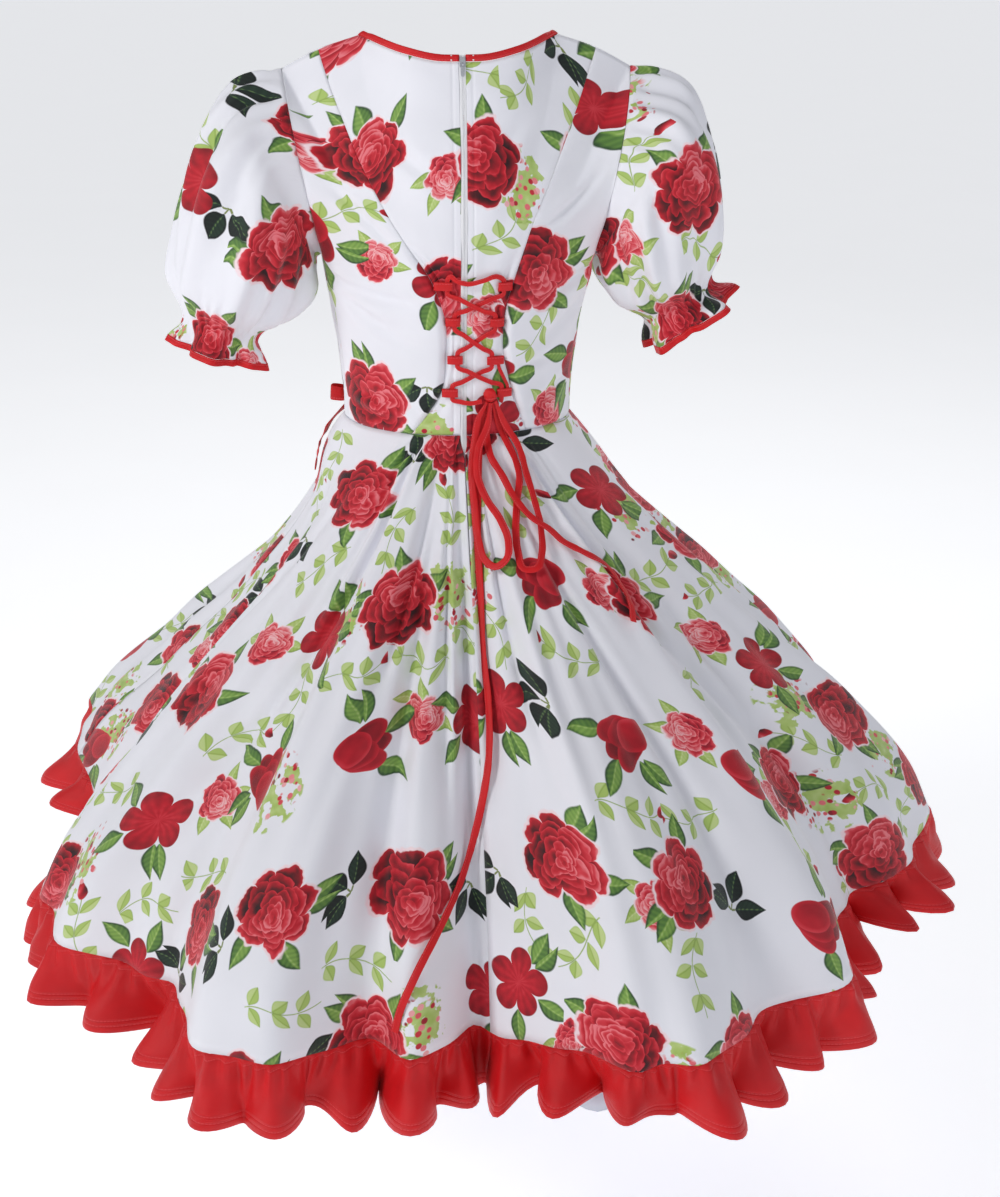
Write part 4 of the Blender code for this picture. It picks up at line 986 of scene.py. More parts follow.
def draw_spray(tree, x, y, seed):
    """A thin bent stem with paired oval leaves and a bud: tones and covers of its leaves and bud."""
    bent = y - sine(x * 2.1 + seed * 6) * 0.26 + sine(seed * 6) * 0.26
    stem = cover_of(0.013 - abs(bent), 0.02) * cover_of(0.95 - abs(x), 0.03)
    cell = x / 0.62 + 0.5
    near = (share_of(cell) - 0.5) * 0.62
    way = sine(floor(cell) * 2.6 + seed * 9) * 0.2
    along, aside = turned(near + 0.24, abs(bent), math.radians(50) + way)
    share = clamped((along - 0.03) / 0.52)
    half = 0.155 * sine(share * math.pi) * (1.2 - share * 0.35)
    leaves = cover_of(half - abs(aside), 0.03) * cover_of(0.93 - abs(x), 0.04)
    leaves = leaves * (share > 0.005) * (share < 0.995)
    tone = 0.40 + cover_of(aside, 0.03) * 0.32 - cover_of(0.016 - abs(aside), 0.02) * 0.35
    tone = clamped(tone - cover_of(0.02 - half + abs(aside), 0.03) * 0.3)
    bud_x, bud_y = x - 1.0, bent * (1 + abs(x - 0.92) * 1.2)
    bud = cover_of(1 - length(bud_x / 0.24, bud_y / 0.15), 0.12)
    bud_tone = clamped(0.52 + bud_y * 2.4 + sine(bud_x * 18 + bud_y * 20) * 0.14)
    return tone, clamped(leaves + stem), bud_tone, bud


def draw_cell(tree, u, v, across, down, start_u, start_v, seed, jitter):
    """The nearest motif's own axes at a place on the cloth, and its three chances.

    Motifs stand in rows, and each second row is moved by half a step.
    """
    row = floor(v / down + start_v)
    place = u / across + start_u + share_of(row * 0.5)
    column = floor(place)
    chance = chances(tree, column, row, seed)
    x = (place - column - 0.5) * across - (chance[0] - 0.5) * jitter
    y = (share_of(v / down + start_v) - 0.5) * down - (chance[1] - 0.5) * jitter
    x, y = turned(x, y, chance[2] * (2 * math.pi))
    return x, y, *chance


def ground_print(tree, u, v):
    """The printed cloth's colour at a place on its flat cut."""
    rose = motif("open_rose", "x y seed".split(), "tone cover halo".split(), draw_rose)
    names = "x y count present start tip width".split()
    leaves = motif("leaf_cluster", names, "tone cover stem".split(), draw_leaves)
    spray = motif("bud_spray", "x y seed".split(), "tone leaves bud_tone bud".split(), draw_spray)
    names = "u v across down start_u start_v seed jitter".split()
    cell = motif("motif_place", names, "x y first second third".split(), draw_cell)
    place = vector(tree, u, v, 0.0)
    colour = ramp(
        tree, noise(tree, place, 9.0, 2.0),
        shades(bpy.context.scene.dress_colours.ground, 0.93, 1.03),
    )

    x, y, one, two, three = drawn(tree, cell, u, v, 0.083, 0.151, 0.25, 0.5, 3.0, 0.030)
    tone, leaf, bud_tone, bud = drawn(tree, spray, x / 0.041, y / 0.041, one)
    shown = two < 0.66
    colour = painted(tree, colour, ramp(tree, tone, LIME_LEAF_TONES), leaf * shown)
    colour = painted(tree, colour, ramp(tree, bud_tone, ROSE_TONES), bud * shown * (three < 0.6))

    x, y, one, two, three = drawn(tree, cell, u, v, 0.142, 0.151, 0.5, 0.06, 5.0, 0.050)
    rough = noise(tree, place, 48.0, 3.0)
    many = one < 0.26
    splotch = cover_of((rough - 0.44) * 2 - length(x, y) / 0.034 * 0.30 + 0.1, 0.05) * many
    splotch = splotch * cover_of(0.040 - length(x, y), 0.002)
    colour = painted(tree, colour, ramp(tree, noise(tree, place, 90.0), LIME_LEAF_TONES), splotch)
    berries = tree.nodes.new("ShaderNodeTexVoronoi")
    berries.inputs["Scale"].default_value = 112.0
    put(tree, berries.inputs["Vector"], place)
    berry = cover_of(0.36 - Term(tree, berries.outputs["Distance"]), 0.08) * many
    patch = noise(tree, place, 30.0, 1.0)
    berry = berry * cover_of(0.050 - length(x + 0.010, y) - patch * 0.03, 0.004)
    berry_tone = split(tree, berries.outputs["Color"])[0]
    colour = painted(tree, colour, ramp(tree, berry_tone, SMALL_ROSE_TONES), berry)
    dark = (one > 0.26) * (one < 0.60)
    tone, leaf, stem = drawn(tree, leaves, x / 0.040, y / 0.040, 5.0, 3.0, 0.16, 1.0, 0.25)
    colour = painted(tree, colour, linear(STEM_GREEN), stem * dark)
    colour = painted(tree, colour, ramp(tree, tone, DARK_LEAF_TONES), leaf * dark)
    small = one > 0.60
    tone, leaf, stem = drawn(tree, leaves, x / 0.034, y / 0.034, 6.0, 4.0, 0.35, 1.22, 0.20)
    colour = painted(tree, colour, ramp(tree, tone, LIME_LEAF_TONES), leaf * small)
    tone, petals, halo = drawn(tree, rose, x / 0.0245, y / 0.0245, two)
    colour = painted(tree, colour, linear("#f8dfe4"), halo * small)
    colour = painted(tree, colour, ramp(tree, tone, SMALL_ROSE_TONES), petals * small)

    x, y, one, two, three = drawn(tree, cell, u, v, 0.142, 0.151, 0.0, 0.0, 1.0, 0.036)
    tone, leaf, stem = drawn(tree, leaves, x / 0.046, y / 0.046, 5.0, 3.0, 0.6, 1.48, 0.21)
    colour = painted(tree, colour, ramp(tree, tone, GREEN_LEAF_TONES), leaf)
    open_rose = one < 0.66
    size = 0.0475 - two * 0.008
    tone, petals, halo = drawn(tree, rose, x / size, y / size, two)
    colour = painted(tree, colour, linear("#f8dfe4"), halo * open_rose)
    colour = painted(tree, colour, ramp(tree, tone, ROSE_TONES), petals * open_rose)
    cup = (one > 0.66) * (one < 0.82)
    shade = noise(tree, place, 70.0) * 0.22
    for across, up, lean, wide, tall, pale in zip(*CUP_PETALS.values()):
        px, py = turned(x - across, y - up, lean)
        inner = 1 - length(px / wide, py / tall)
        tone = clamped(pale + shade + clamped(1 - inner * 3.5) * 0.22 + px * 6)
        colour = painted(tree, colour, ramp(tree, tone, ROSE_TONES), cover_of(inner, 0.05) * cup)
    angle = maths(tree, "ARCTAN2", y, x) * 2.5
    flat_edge = (maths(tree, "POWER", abs(cosine(angle)), 0.5) * 0.5 + 0.5) * 0.036
    depth = flat_edge - length(x, y)
    flat = cover_of(depth / 0.034, 0.03) * (one > 0.82)
    flat_tone = clamped(
        0.56 - length(x, y) * 9 + sine(angle * 6) * 0.05 + noise(tree, place, 120.0) * 0.3,
    )
    return painted(tree, colour, ramp(tree, flat_tone, ROSE_TONES), flat)


def fresh_material(name):
    """A new material and its node tree, its shader and the flat cut's two coordinates."""
    finish = bpy.data.materials.new(name)
    finish.use_nodes = True
    tree = finish.node_tree
    shader = tree.nodes["Principled BSDF"]
    uv = tree.nodes.new("ShaderNodeUVMap")
    uv.uv_map = "flat"
    u, v, _ = split(tree, uv.outputs[0])
    return finish, tree, shader, u, v


def raised(tree, shader, height, strength, distance):
    """Gives a shader its small relief."""
    bump = tree.nodes.new("ShaderNodeBump")
    bump.inputs["Strength"].default_value = strength
    bump.inputs["Distance"].default_value = distance
    put(tree, bump.inputs["Height"], height)
    tree.links.new(bump.outputs[0], shader.inputs["Normal"])


def woven(tree, u, v, pitch=0.0006):
    """The relief of a plain weave with its slight slubs and soft wrinkles."""
    threads = sine(u * (2 * math.pi / pitch)) * sine(v * (2 * math.pi / pitch))
    place = vector(tree, u, v, 0.0)
    slubs = noise(tree, place, 900.0, 2.0)
    wrinkles = noise(tree, place, 28.0, 3.0)
    return threads * 0.12 + slubs * 0.3 + wrinkles * 3.2


def printed_cloth():
    """White polyester with roses and leaves."""
    finish, tree, shader, u, v = fresh_material("Printed cloth")
    tree.links.new(ground_print(tree, u, v), shader.inputs["Base Color"])
    rough = noise(tree, vector(tree, u, v, 0.0), 40.0) * 0.12 + 0.56
    put(tree, shader.inputs["Roughness"], rough)
    shader.inputs["Sheen Weight"].default_value = 0.22
    shader.inputs["Sheen Roughness"].default_value = 0.45
    shader.inputs["Specular IOR Level"].default_value = 0.35
    raised(tree, shader, woven(tree, u, v), 0.55, 0.0004)
    return finish


def red_cloth(name, stitch_rows=()):
    """Red polyester with a soft shine, and rows of stitches at set distances along its flat cut."""
    finish, tree, shader, u, v = fresh_material(name)
    place = vector(tree, u, v, 0.0)
    height = woven(tree, u, v)
    tone = noise(tree, place, 26.0, 3.0)
    colour = ramp(tree, tone, shades(bpy.context.scene.dress_colours.red, 0.76, 1.0, 1.2))
    for row in stitch_rows:
        beside = abs(v - row)
        thread = cover_of((0.00045 - beside) * 1000, 0.35)
        dash = cover_of(share_of(u / 0.003) - 0.22, 0.1) * thread
        colour = painted(tree, colour, linear("#e8474d"), dash * 0.8)
        groove = cover_of((0.0013 - beside) * 1000, 1.2)
        height = height + dash * 1.2 - groove * 1.5
    tree.links.new(colour, shader.inputs["Base Color"])
    put(tree, shader.inputs["Roughness"], tone * 0.16 + 0.40)
    shader.inputs["Sheen Weight"].default_value = 0.10
    shader.inputs["Sheen Roughness"].default_value = 0.35
    shader.inputs["Sheen Tint"].default_value = (1.0, 0.45, 0.45, 1.0)
    shader.inputs["Specular IOR Level"].default_value = 0.38
    raised(tree, shader, height, 0.6, 0.0005)
    return finish


def plain_cloth(name, dark, pale, roughness):
    """Plain white cloth, such as the print's wrong side, the underskirt and the zip's tape."""
    finish, tree, shader, u, v = fresh_material(name)
    tone = noise(tree, vector(tree, u, v, 0.0), 30.0, 2.0)
    tree.links.new(ramp(tree, tone, (dark, pale)), shader.inputs["Base Color"])
    put(tree, shader.inputs["Roughness"], tone * 0.1 + roughness)
    shader.inputs["Sheen Weight"].default_value = 0.15
    raised(tree, shader, woven(tree, u, v), 0.4, 0.0004)
    return finish


def zip_metal():
    """White-coated metal with worn, brushed faces."""
    finish = bpy.data.materials.new("Zip metal")
    finish.use_nodes = True
    tree = finish.node_tree
    shader = tree.nodes["Principled BSDF"]
    place = tree.nodes.new("ShaderNodeTexCoord").outputs["Object"]
    wear = noise(tree, place, 900.0, 3.0)
    tree.links.new(ramp(tree, wear, ("#b9bcc2", "#e3e5ea")), shader.inputs["Base Color"])
    put(tree, shader.inputs["Roughness"], wear * 0.25 + 0.22)
    shader.inputs["Metallic"].default_value = 0.75
    raised(tree, shader, wear, 0.15, 0.0001)
    return finish


def finish_named(name):
    """One of the dress's finishes, made when it is first asked for."""
    made = bpy.data.materials.get(name)
    if made:
        return made
    makers = {
        "Printed cloth": printed_cloth,
        "Red ruffle": lambda: red_cloth("Red ruffle", (0.006, RUFFLE_LENGTH - 0.014, RUFFLE_LENGTH - 0.008)),
        "Red binding": lambda: red_cloth("Red binding", (0.0016,)),
        "Red ribbon": lambda: red_cloth("Red ribbon", (0.0027,)),
        "Print's wrong side": lambda: plain_cloth("Print's wrong side", "#dcdde8", "#ececf3", 0.62),
        "Underskirt": lambda: plain_cloth("Underskirt", "#d3d8e8", "#e3e7f2", 0.55),
        "Zip tape": lambda: plain_cloth("Zip tape", "#e6e6ea", "#f4f4f6", 0.6),
        "Zip metal": zip_metal,
    }
    return makers[name]()


# Soft troughs of the bodice: side turned to metres across, height, to where, width and depth
BODICE_CREASES = table(
    "from_u from_v to_u to_v width depth",
    (-0.205, -0.245, -0.120, -0.275, 0.0060, 0.0030),
    (-0.200, -0.262, -0.130, -0.315, 0.0070, 0.0024),
    (-0.150, -0.150, -0.120, -0.215, 0.0060, 0.0022),
    (-0.190, -0.372, -0.120, -0.388, 0.0055, 0.0022),
    (-0.200, -0.395, -0.110, -0.404, 0.0050, 0.0018),
    (-0.100, -0.215, -0.075, -0.270, 0.0050, 0.0018),
    (-0.070, -0.095, -0.020, -0.160, 0.0090, 0.0016),
    (0.208, -0.240, 0.128, -0.280, 0.0065, 0.0030),
    (0.200, -0.268, 0.140, -0.330, 0.0070, 0.0022),
    (0.160, -0.140, 0.118, -0.200, 0.0060, 0.0024),
    (0.195, -0.365, 0.110, -0.392, 0.0060, 0.0024),
    (0.160, -0.330, 0.105, -0.352, 0.0060, 0.0018),
    (0.060, -0.090, 0.016, -0.150, 0.0090, 0.0016),
    (0.095, -0.230, 0.080, -0.300, 0.0050, 0.0016),
    (-0.245, -0.250, -0.330, -0.290, 0.0080, 0.0030),
    (-0.250, -0.375, -0.340, -0.392, 0.0070, 0.0026),
    (-0.300, -0.150, -0.380, -0.215, 0.0090, 0.0022),
    (-0.350, -0.330, -0.425, -0.345, 0.0080, 0.0018),
    (0.245, -0.245, 0.340, -0.300, 0.0080, 0.0030),
    (0.250, -0.385, 0.350, -0.398, 0.0070, 0.0024),
    (0.310, -0.160, 0.390, -0.200, 0.0090, 0.0020),
    (0.350, -0.345, 0.430, -0.335, 0.0080, 0.0018),
)
SIDE_LENGTH = 0.22

# Soft troughs of the skirt: from and to a turn and a share of its length
SKIRT_CREASES = table(
    "from_u from_v to_u to_v width depth",
    (-38, 0.10, -52, 0.78, 0.030, 0.0120),
    (-20, 0.12, -24, 0.75, 0.024, 0.0115),
    (-8, 0.08, -6, 0.78, 0.018, 0.0105),
    (9, 0.08, 12, 0.74, 0.020, 0.0105),
    (24, 0.10, 33, 0.80, 0.026, 0.0120),
    (44, 0.06, 60, 0.72, 0.034, 0.0115),
    (-66, 0.15, -84, 0.80, 0.043, 0.0095),
    (76, 0.20, 90, 0.85, 0.043, 0.0085),
    (110, 0.10, 124, 0.75, 0.040, 0.0095),
    (140, 0.12, 150, 0.80, 0.037, 0.0085),
    (170, 0.08, 176, 0.70, 0.040, 0.0095),
    (-118, 0.10, -132, 0.75, 0.040, 0.0095),
    (-146, 0.12, -158, 0.80, 0.037, 0.0085),
    (-172, 0.20, -168, 0.90, 0.040, 0.0080),
)
TURN_UNIT = 1 / 60

# How far the ruffle's edge is raised where the underskirt shows below it
RUFFLE_NOTCH = 0.026

# The skirt's cut: the radius of its waist and the length of its panels
FLAT_WAIST_RADIUS = 0.115
FLAT_SKIRT_LENGTH = 0.64
SLEEVE_CUT_WIDTH = 0.46


def sunk(rows, u, v, unit=1.0):
    """How far soft, uneven troughs sink the cloth at a place. unit brings u to the scale of v."""
    total = 0.0
    for from_u, from_v, to_u, to_v, width, depth in zip(*rows.values()):
        run_u, run_v = (to_u - from_u) * unit, to_v - from_v
        size = math.hypot(run_u, run_v)
        beside_u, beside_v = (u - from_u) * unit, v - from_v
        along = (beside_u * run_u + beside_v * run_v) / size**2
        aside = (beside_u * run_v - beside_v * run_u) / size / width
        aside = aside + 0.6 * np.sin(along * 4 + from_v * 90)
        fade = ease(-0.15, 0.35, along) * (1 - ease(0.55, 1.2, along))
        ridges = np.exp(-(((aside - 1.9) / 1.2) ** 2)) + np.exp(-(((aside + 1.9) / 1.2) ** 2))
        total = total + depth * fade * (np.exp(-(aside**2)) - 0.35 * ridges)
    return total


def uneven(u, v, size, seed):
    """Soft ups and downs over a surface, about a size across, from -1 to 1."""
    dice = np.random.RandomState(seed)
    total = 0.0
    for _ in range(6):
        angle, phase = dice.uniform(0, 2 * math.pi, 2)
        waves = dice.uniform(0.7, 1.5) * 2 * math.pi / size
        total = total + np.sin((u * math.cos(angle) + v * math.sin(angle)) * waves + phase)
    return total / 3.5


def depth_scale():
    """The user's share of all crease depths."""
    return bpy.context.scene.dress_sizes.crease_share


def bodice_cloth(side, around, rise):
    """The bodice's surface with its creases, and with its panels rolled into their seams."""
    points = bodice(side, around, rise)
    u = side * np.asarray(around) * SIDE_LENGTH + 0 * points[..., 2]
    low = ease(-0.43, -0.40, points[..., 2])
    quiet = 1 - ease(0.96, 1.0, rise)
    depth = sunk(BODICE_CREASES, u, points[..., 2]) - 0.0009 * uneven(u, points[..., 2], 0.07, 5)
    depth = depth * 1.5 * low * quiet * depth_scale()
    for seam in (PRINCESS_SHARE, 1.0):
        depth = depth + 0.0006 * np.exp(-(((np.asarray(around) - seam) / 0.012) ** 2))
    depth = depth + 0.0006 * np.exp(-((np.asarray(rise) / 0.012) ** 2))
    behind = np.asarray(around) < 0.3
    depth = depth + behind * 0.0007 * np.exp(-(((np.abs(points[..., 0]) - 0.0105) / 0.0014) ** 2))
    return points - bodice_normal(side, around, rise) * depth[..., None]


def armhole_edge(side, psi):
    """The edge of a sleeve at the armhole: psi is 0 at the shoulder and runs down the back."""
    share = TIP_SHARE + (1 - TIP_SHARE) * (1 - np.abs(psi - 180) / 180)
    around = np.where(psi <= 180, share, 2 - share)
    return bodice(side, around, 1.0) + top_edge_away(side, around) * 0.0004


def sleeve_cloth(side, psi, along):
    """A puff sleeve's surface with its gathers and soft folds, and its binding beyond."""
    psi, along = np.broadcast_arrays(np.asarray(psi, float), np.asarray(along, float))
    turn = np.mod(psi, 360)
    rows = SLEEVES["left" if side < 0 else "right"]
    points = sleeve_ring(side, turn, along)
    start = armhole_edge(side, turn) - sleeve_ring(side, turn, 0.0)
    points = points + (1 - ease(0.0, 0.42, along))[..., None] * start
    middle = np.stack([side * read(rows, "x", along), 0 * along, read(rows, "z", along)], -1)
    spoke = points - middle
    spoke /= np.linalg.norm(spoke, axis=-1, keepdims=True)
    t = np.radians(turn)
    near_top = 1 - ease(25, 105, np.abs((turn + 180) % 360 - 180))
    cap = 0.0042 * np.sin(t * 9) + 0.0030 * np.sin(t * 23 + 1.4 * np.sin(t * 4) + side)
    cap = cap * near_top * ease(0, 0.06, along) * (1 - ease(0.12, 0.48, along))
    folds = 0.0050 * np.sin(t * 7 + 1.3 * np.sin(t * 2 + side) + 3 * along)
    folds = folds + 0.0036 * np.sin(t * 12 + 2.0 * np.sin(t * 3) - 4 * along + side)
    folds = folds * ease(0.12, 0.45, along) * (1 - ease(0.86, 1.0, along))
    shirr = 0.0022 * np.cos(t * 8) + 0.0016 * np.cos(t * 27 + 1.5 * np.sin(t * 5))
    shirr = shirr * ease(0.78, 0.99, along) * (1 - ease(1.0, 1.10, along))
    frill = read(rows, "frill", along) * np.cos(t * 5 + side * 0.6 + 0.5 * np.sin(t * 2))
    frill = frill + 0.0022 * np.cos(t * 13 + np.sin(t * 3)) * ease(1.02, 1.16, along)
    return points + ((cap + folds + shirr) * depth_scale() + frill)[..., None] * spoke


def ripple(turn, along):
    """The skirt's smaller soft folds, which grow from the waist down."""
    t = np.radians(turn)
    broad = np.sin(t * 29 + 1.1 * np.sin(t * 3 + 1) + 0.5 * np.sin(along * 5 + t * 4))
    small = np.sin(t * 53 + 1.7 * np.sin(t * 5) + 0.8 * np.sin(along * 6 + t * 3))
    waves = 0.0078 * (broad + 0.35 * broad**2) * (0.75 + 0.25 * np.sin(t * 6 + 2))
    waves = (waves + 0.0046 * small * (0.6 + 0.4 * np.sin(t * 8))) * ease(0.10, 0.62, along)
    centre = 1 - ease(12, 30, np.abs(turn))
    valleys = 0.0064 * np.cos(t * 61 + 0.8 * np.sin(t * 17)) * centre
    waves = waves + valleys * ease(0.12, 0.4, along) * (1 - 0.5 * ease(0.5, 1.0, along))
    waves = waves - sunk(SKIRT_CREASES, turn, along, TURN_UNIT) * (1 - ease(0.86, 1.0, along))
    waist_turn = read(WAIST_TURN, "waist", turn)
    fine = 0.0034 * np.cos(np.radians(waist_turn) * 46 + 2 * np.sin(t * 9))
    fine = fine + 0.0018 * np.cos(np.radians(waist_turn) * 83 + 2 * np.sin(t * 7))
    fine = fine * (1 - ease(22, 40, np.abs(waist_turn)))
    fine = fine * ease(0.0, 0.06, along) * (1 - ease(0.25, 0.65, along))
    hem_length = np.interp(turn, HEM_TURNS, HEM_LENGTHS)
    rumple = 0.0024 * uneven(hem_length, along * 0.6, 0.16, 8) * ease(0.1, 0.5, along)
    return (waves + fine + rumple) * depth_scale()


def skirt_cloth(turn, along):
    """The skirt's surface with its folds, down from the waist seam."""
    turn, along = np.broadcast_arrays(np.asarray(turn, float), np.asarray(along, float))
    turn = (turn + 180) % 360 - 180
    points = skirt(turn, along)
    out = points * [1, 1, 0]
    out /= np.linalg.norm(out, axis=-1, keepdims=True)
    lapped = ease(0.012, 0.035, along) * (1 - ease(0.221, 0.259, along)) * np.exp(-((turn / 4) ** 2))
    aside = np.sign(turn) * (ZIP_HALF_WIDTH - 0.0006) * lapped
    return points + out * ripple(turn, along)[..., None] - aside[..., None] * [1.0, 0, 0]


def ruffle_cloth(turn, down):
    """The ruffle's surface with its flutes, which fold over, and the small gathers at its seam."""
    turn, down = np.broadcast_arrays(np.asarray(turn, float), np.asarray(down, float))
    turn = (turn + 180) % 360 - 180
    points = ruffle(turn, down)
    out = points * [1, 1, 0]
    out /= np.linalg.norm(out, axis=-1, keepdims=True)
    ahead = hem_point(turn + 1.5) - hem_point(turn - 1.5)
    ahead /= np.linalg.norm(ahead, axis=-1, keepdims=True)
    length = np.interp(turn, HEM_TURNS, HEM_LENGTHS)
    phase = length / HEM_LENGTHS[-1] * RUFFLE_WAVES * 2 * math.pi
    phase = phase + 0.9 * np.sin(np.radians(turn) * 5 + 0.7) + 0.7 * np.sin(np.radians(turn) * 11)
    share = down / RUFFLE_LENGTH
    size = 1.1 + 0.6 * np.sin(np.radians(turn) * 13 + 2.0 * np.sin(np.radians(turn) * 3))
    fullness = ease(0.0, 1.0, share) * size * bpy.context.scene.dress_sizes.ruffle_share
    sway = np.sin(np.radians(turn) * 7 + 0.4)
    swing = (0.0130 * np.cos(phase + 0.3 * sway) + 0.005 + 0.004 * np.cos(phase * 2 + sway)) * fullness
    lean = (0.0092 * np.sin(phase) + 0.0050 * sway * (1 - np.cos(phase))) * fullness
    fade = ease(0.0, 0.006, down) * (1 - ease(0.012, 0.055, down))
    gathers = 0.0036 * np.sin(length * 2 * math.pi / 0.017 + 1.8 * np.sin(length * 31)) * fade
    soft = 0.0032 * np.sin(length * 2 * math.pi / 0.041 + 2.0 * np.sin(length * 17)) * ease(0.1, 0.8, share)
    soft = soft + 0.0030 * uneven(length, down, 0.05, 3) * ease(0.0, 0.5, share)
    kept = ripple(turn, np.ones_like(turn)) * (1 - 0.5 * share)
    lift = (0.0055 * (1 - np.cos(phase)) + 0.004 * np.sin(phase * 0.5)) * share**1.3 * size
    raised_at = zip(UNDERSKIRT_DIPS["turn"], UNDERSKIRT_DIPS["width"])
    notches = sum(np.exp(-(((turn - at) / width) ** 2)) for at, width in raised_at)
    lift = lift + RUFFLE_NOTCH * notches * share
    points = points + out * ((gathers + soft) * depth_scale() + kept + swing)[..., None]
    return points + ahead * lean[..., None] + lift[..., None] * [0, 0, 1.0]


def steps_along(points, axis):
    """Lengths from a grid's first row or column, measured over its surface."""
    steps = np.linalg.norm(np.diff(points, axis=axis), axis=-1)
    pad = [(1, 0), (0, 0)] if axis == 0 else [(0, 0), (1, 0)]
    return np.pad(np.cumsum(steps, axis=axis), pad)


def flat_cut(points, shift=(0.0, 0.0)):
    """The flat cut of a flared piece: level lengths across its rows, and lengths up its columns."""
    across, down = steps_along(points * [1, 1, 0], 1), steps_along(points, 0)
    return np.stack([across + shift[0], down[-1:] - down + shift[1]], -1)


def flat_bodice(points, behind, shift):
    """The flat cut of a bodice panel: lengths round the figure from the centre, and up its columns."""
    x, y, z = np.moveaxis(points, -1, 0)
    wide = read(TORSO, "half_width", z)
    deep = read(TORSO, "back_depth" if behind else "front_depth", z)
    angle = np.arctan2(x / wide, -y / deep if behind else y / deep)
    parts = angle[..., None] * (np.arange(40) + 0.5) / 40
    steps = np.hypot(wide[..., None] * np.cos(parts), deep[..., None] * np.sin(parts))
    down = steps_along(points, 0)
    return np.stack([steps.mean(axis=-1) * angle + shift[0], down[-1:] - down + shift[1]], -1)


def flat_sleeve(points, width, shift):
    """The flat cut of a sleeve: shares of its width across, and lengths up its columns."""
    down = steps_along(points, 0)
    across = np.linspace(-0.5, 0.5, points.shape[1]) * width + 0 * down
    return np.stack([across + shift[0], down[-1:] - down + shift[1]], -1)


def flat_strip(points):
    """The flat cut of a narrow strip: lengths along it, and across it from its first row."""
    return np.stack([steps_along(points, 1), steps_along(points, 0)], -1)


def cloth(name, points, flat, finish, nodes, outside, ring=False, wrong_side=None, thickness=None):
    """A thin cloth shell on a grid of points, in place of its solids.

    A ring's last column stands at its first, but keeps its own place on the flat cut.
    """
    rows, columns = points.shape[:2]
    wide = columns - 1 if ring else columns
    row, column = np.mgrid[0 : rows - 1, 0 : columns - 1]
    corners = [(row, column), (row + 1, column), (row + 1, column + 1), (row, column + 1)]
    middle = (points[:-1, :-1] + points[1:, 1:]) / 2
    facing = np.cross(points[1:, 1:] - points[:-1, :-1], points[:-1, 1:] - points[1:, :-1])
    if (facing * outside(middle)).sum() < 0:
        corners = corners[::-1]
    faces = np.stack([r * wide + c % wide for r, c in corners], -1).reshape(-1, 4)
    mesh = bpy.data.meshes.new(name)
    mesh.from_pydata(points[:, :wide].reshape(-1, 3).tolist(), [], faces.tolist())
    places = np.stack([flat[r, c] for r, c in corners], 2)
    mesh.uv_layers.new(name="flat").data.foreach_set("uv", places.reshape(-1).astype(np.float32))
    mesh.shade_smooth()
    mesh.materials.append(finish_named(finish))
    mesh.materials.append(finish_named(wrong_side or finish))
    obj = bpy.data.objects.new(name, mesh)
    bpy.context.scene.collection.objects.link(obj)
    shell = obj.modifiers.new("Cloth", "SOLIDIFY")
    shell.thickness = thickness or bpy.context.scene.dress_sizes.thickness
    shell.offset = -1
    shell.material_offset = 1
    taken(obj, nodes)
    return obj


def taken(obj, nodes):
    """A piece rides on the dress and stands for its solids, if it has any."""
    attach(obj, BODY)
    if nodes:
        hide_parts(*nodes)


def strip(name, route, facing, width, nodes, thickness=0.0011, roll=0.0):
    """A ribbon along a route, with rounded edges, a slightly raised middle and a soft roll."""
    ahead = np.gradient(route, axis=0)
    ahead /= np.linalg.norm(ahead, axis=1, keepdims=True)
    across = np.cross(ahead, facing)
    across /= np.linalg.norm(across, axis=1, keepdims=True)
    face = np.cross(across, ahead)
    lengths = steps_along(route[:, None], 0)
    angle = roll * np.sin(lengths / 0.0042 + 1.3 * np.sin(lengths / 0.011))
    across, face = (
        across * np.cos(angle) + face * np.sin(angle),
        face * np.cos(angle) - across * np.sin(angle),
    )
    width = np.broadcast_to(width, len(route))[:, None, None]
    sides = np.array([-0.5, -0.46, -0.25, 0.0, 0.25, 0.46, 0.5, 0.46, 0.25, 0.0, -0.25, -0.46, -0.5])
    lift = np.array([0.0, 0.46, 0.5, 0.56, 0.5, 0.46, 0.0, -0.42, -0.5, -0.5, -0.5, -0.42, 0.0])
    points = route[:, None] + across[:, None] * sides[None, :, None] * width
    points = points + face[:, None] * lift[None, :, None] * thickness
    places = np.stack(np.broadcast_arrays(lengths, sides * 0.008), -1)
    rows, wide = points.shape[0], points.shape[1] - 1
    corners = [
        [(r, c), (r, c + 1), (r + 1, c + 1), (r + 1, c)] for r in range(rows - 1) for c in range(wide)
    ]
    corners.append([(0, c) for c in range(wide)][::-1])
    corners.append([(rows - 1, c) for c in range(wide)])
    mesh = bpy.data.meshes.new(name)
    faces = [[r * wide + c % wide for r, c in face_corners] for face_corners in corners]
    mesh.from_pydata(points[:, :wide].reshape(-1, 3).tolist(), [], faces)
    flat = np.array([places[corner] for face_corners in corners for corner in face_corners])
    mesh.uv_layers.new(name="flat").data.foreach_set("uv", flat.reshape(-1).astype(np.float32))
    mesh.shade_smooth()
    mesh.set_sharp_from_angle(angle=math.radians(60))
    mesh.materials.append(finish_named("Red ribbon"))
    obj = bpy.data.objects.new(name, mesh)
    bpy.context.scene.collection.objects.link(obj)
    taken(obj, nodes)
    return obj


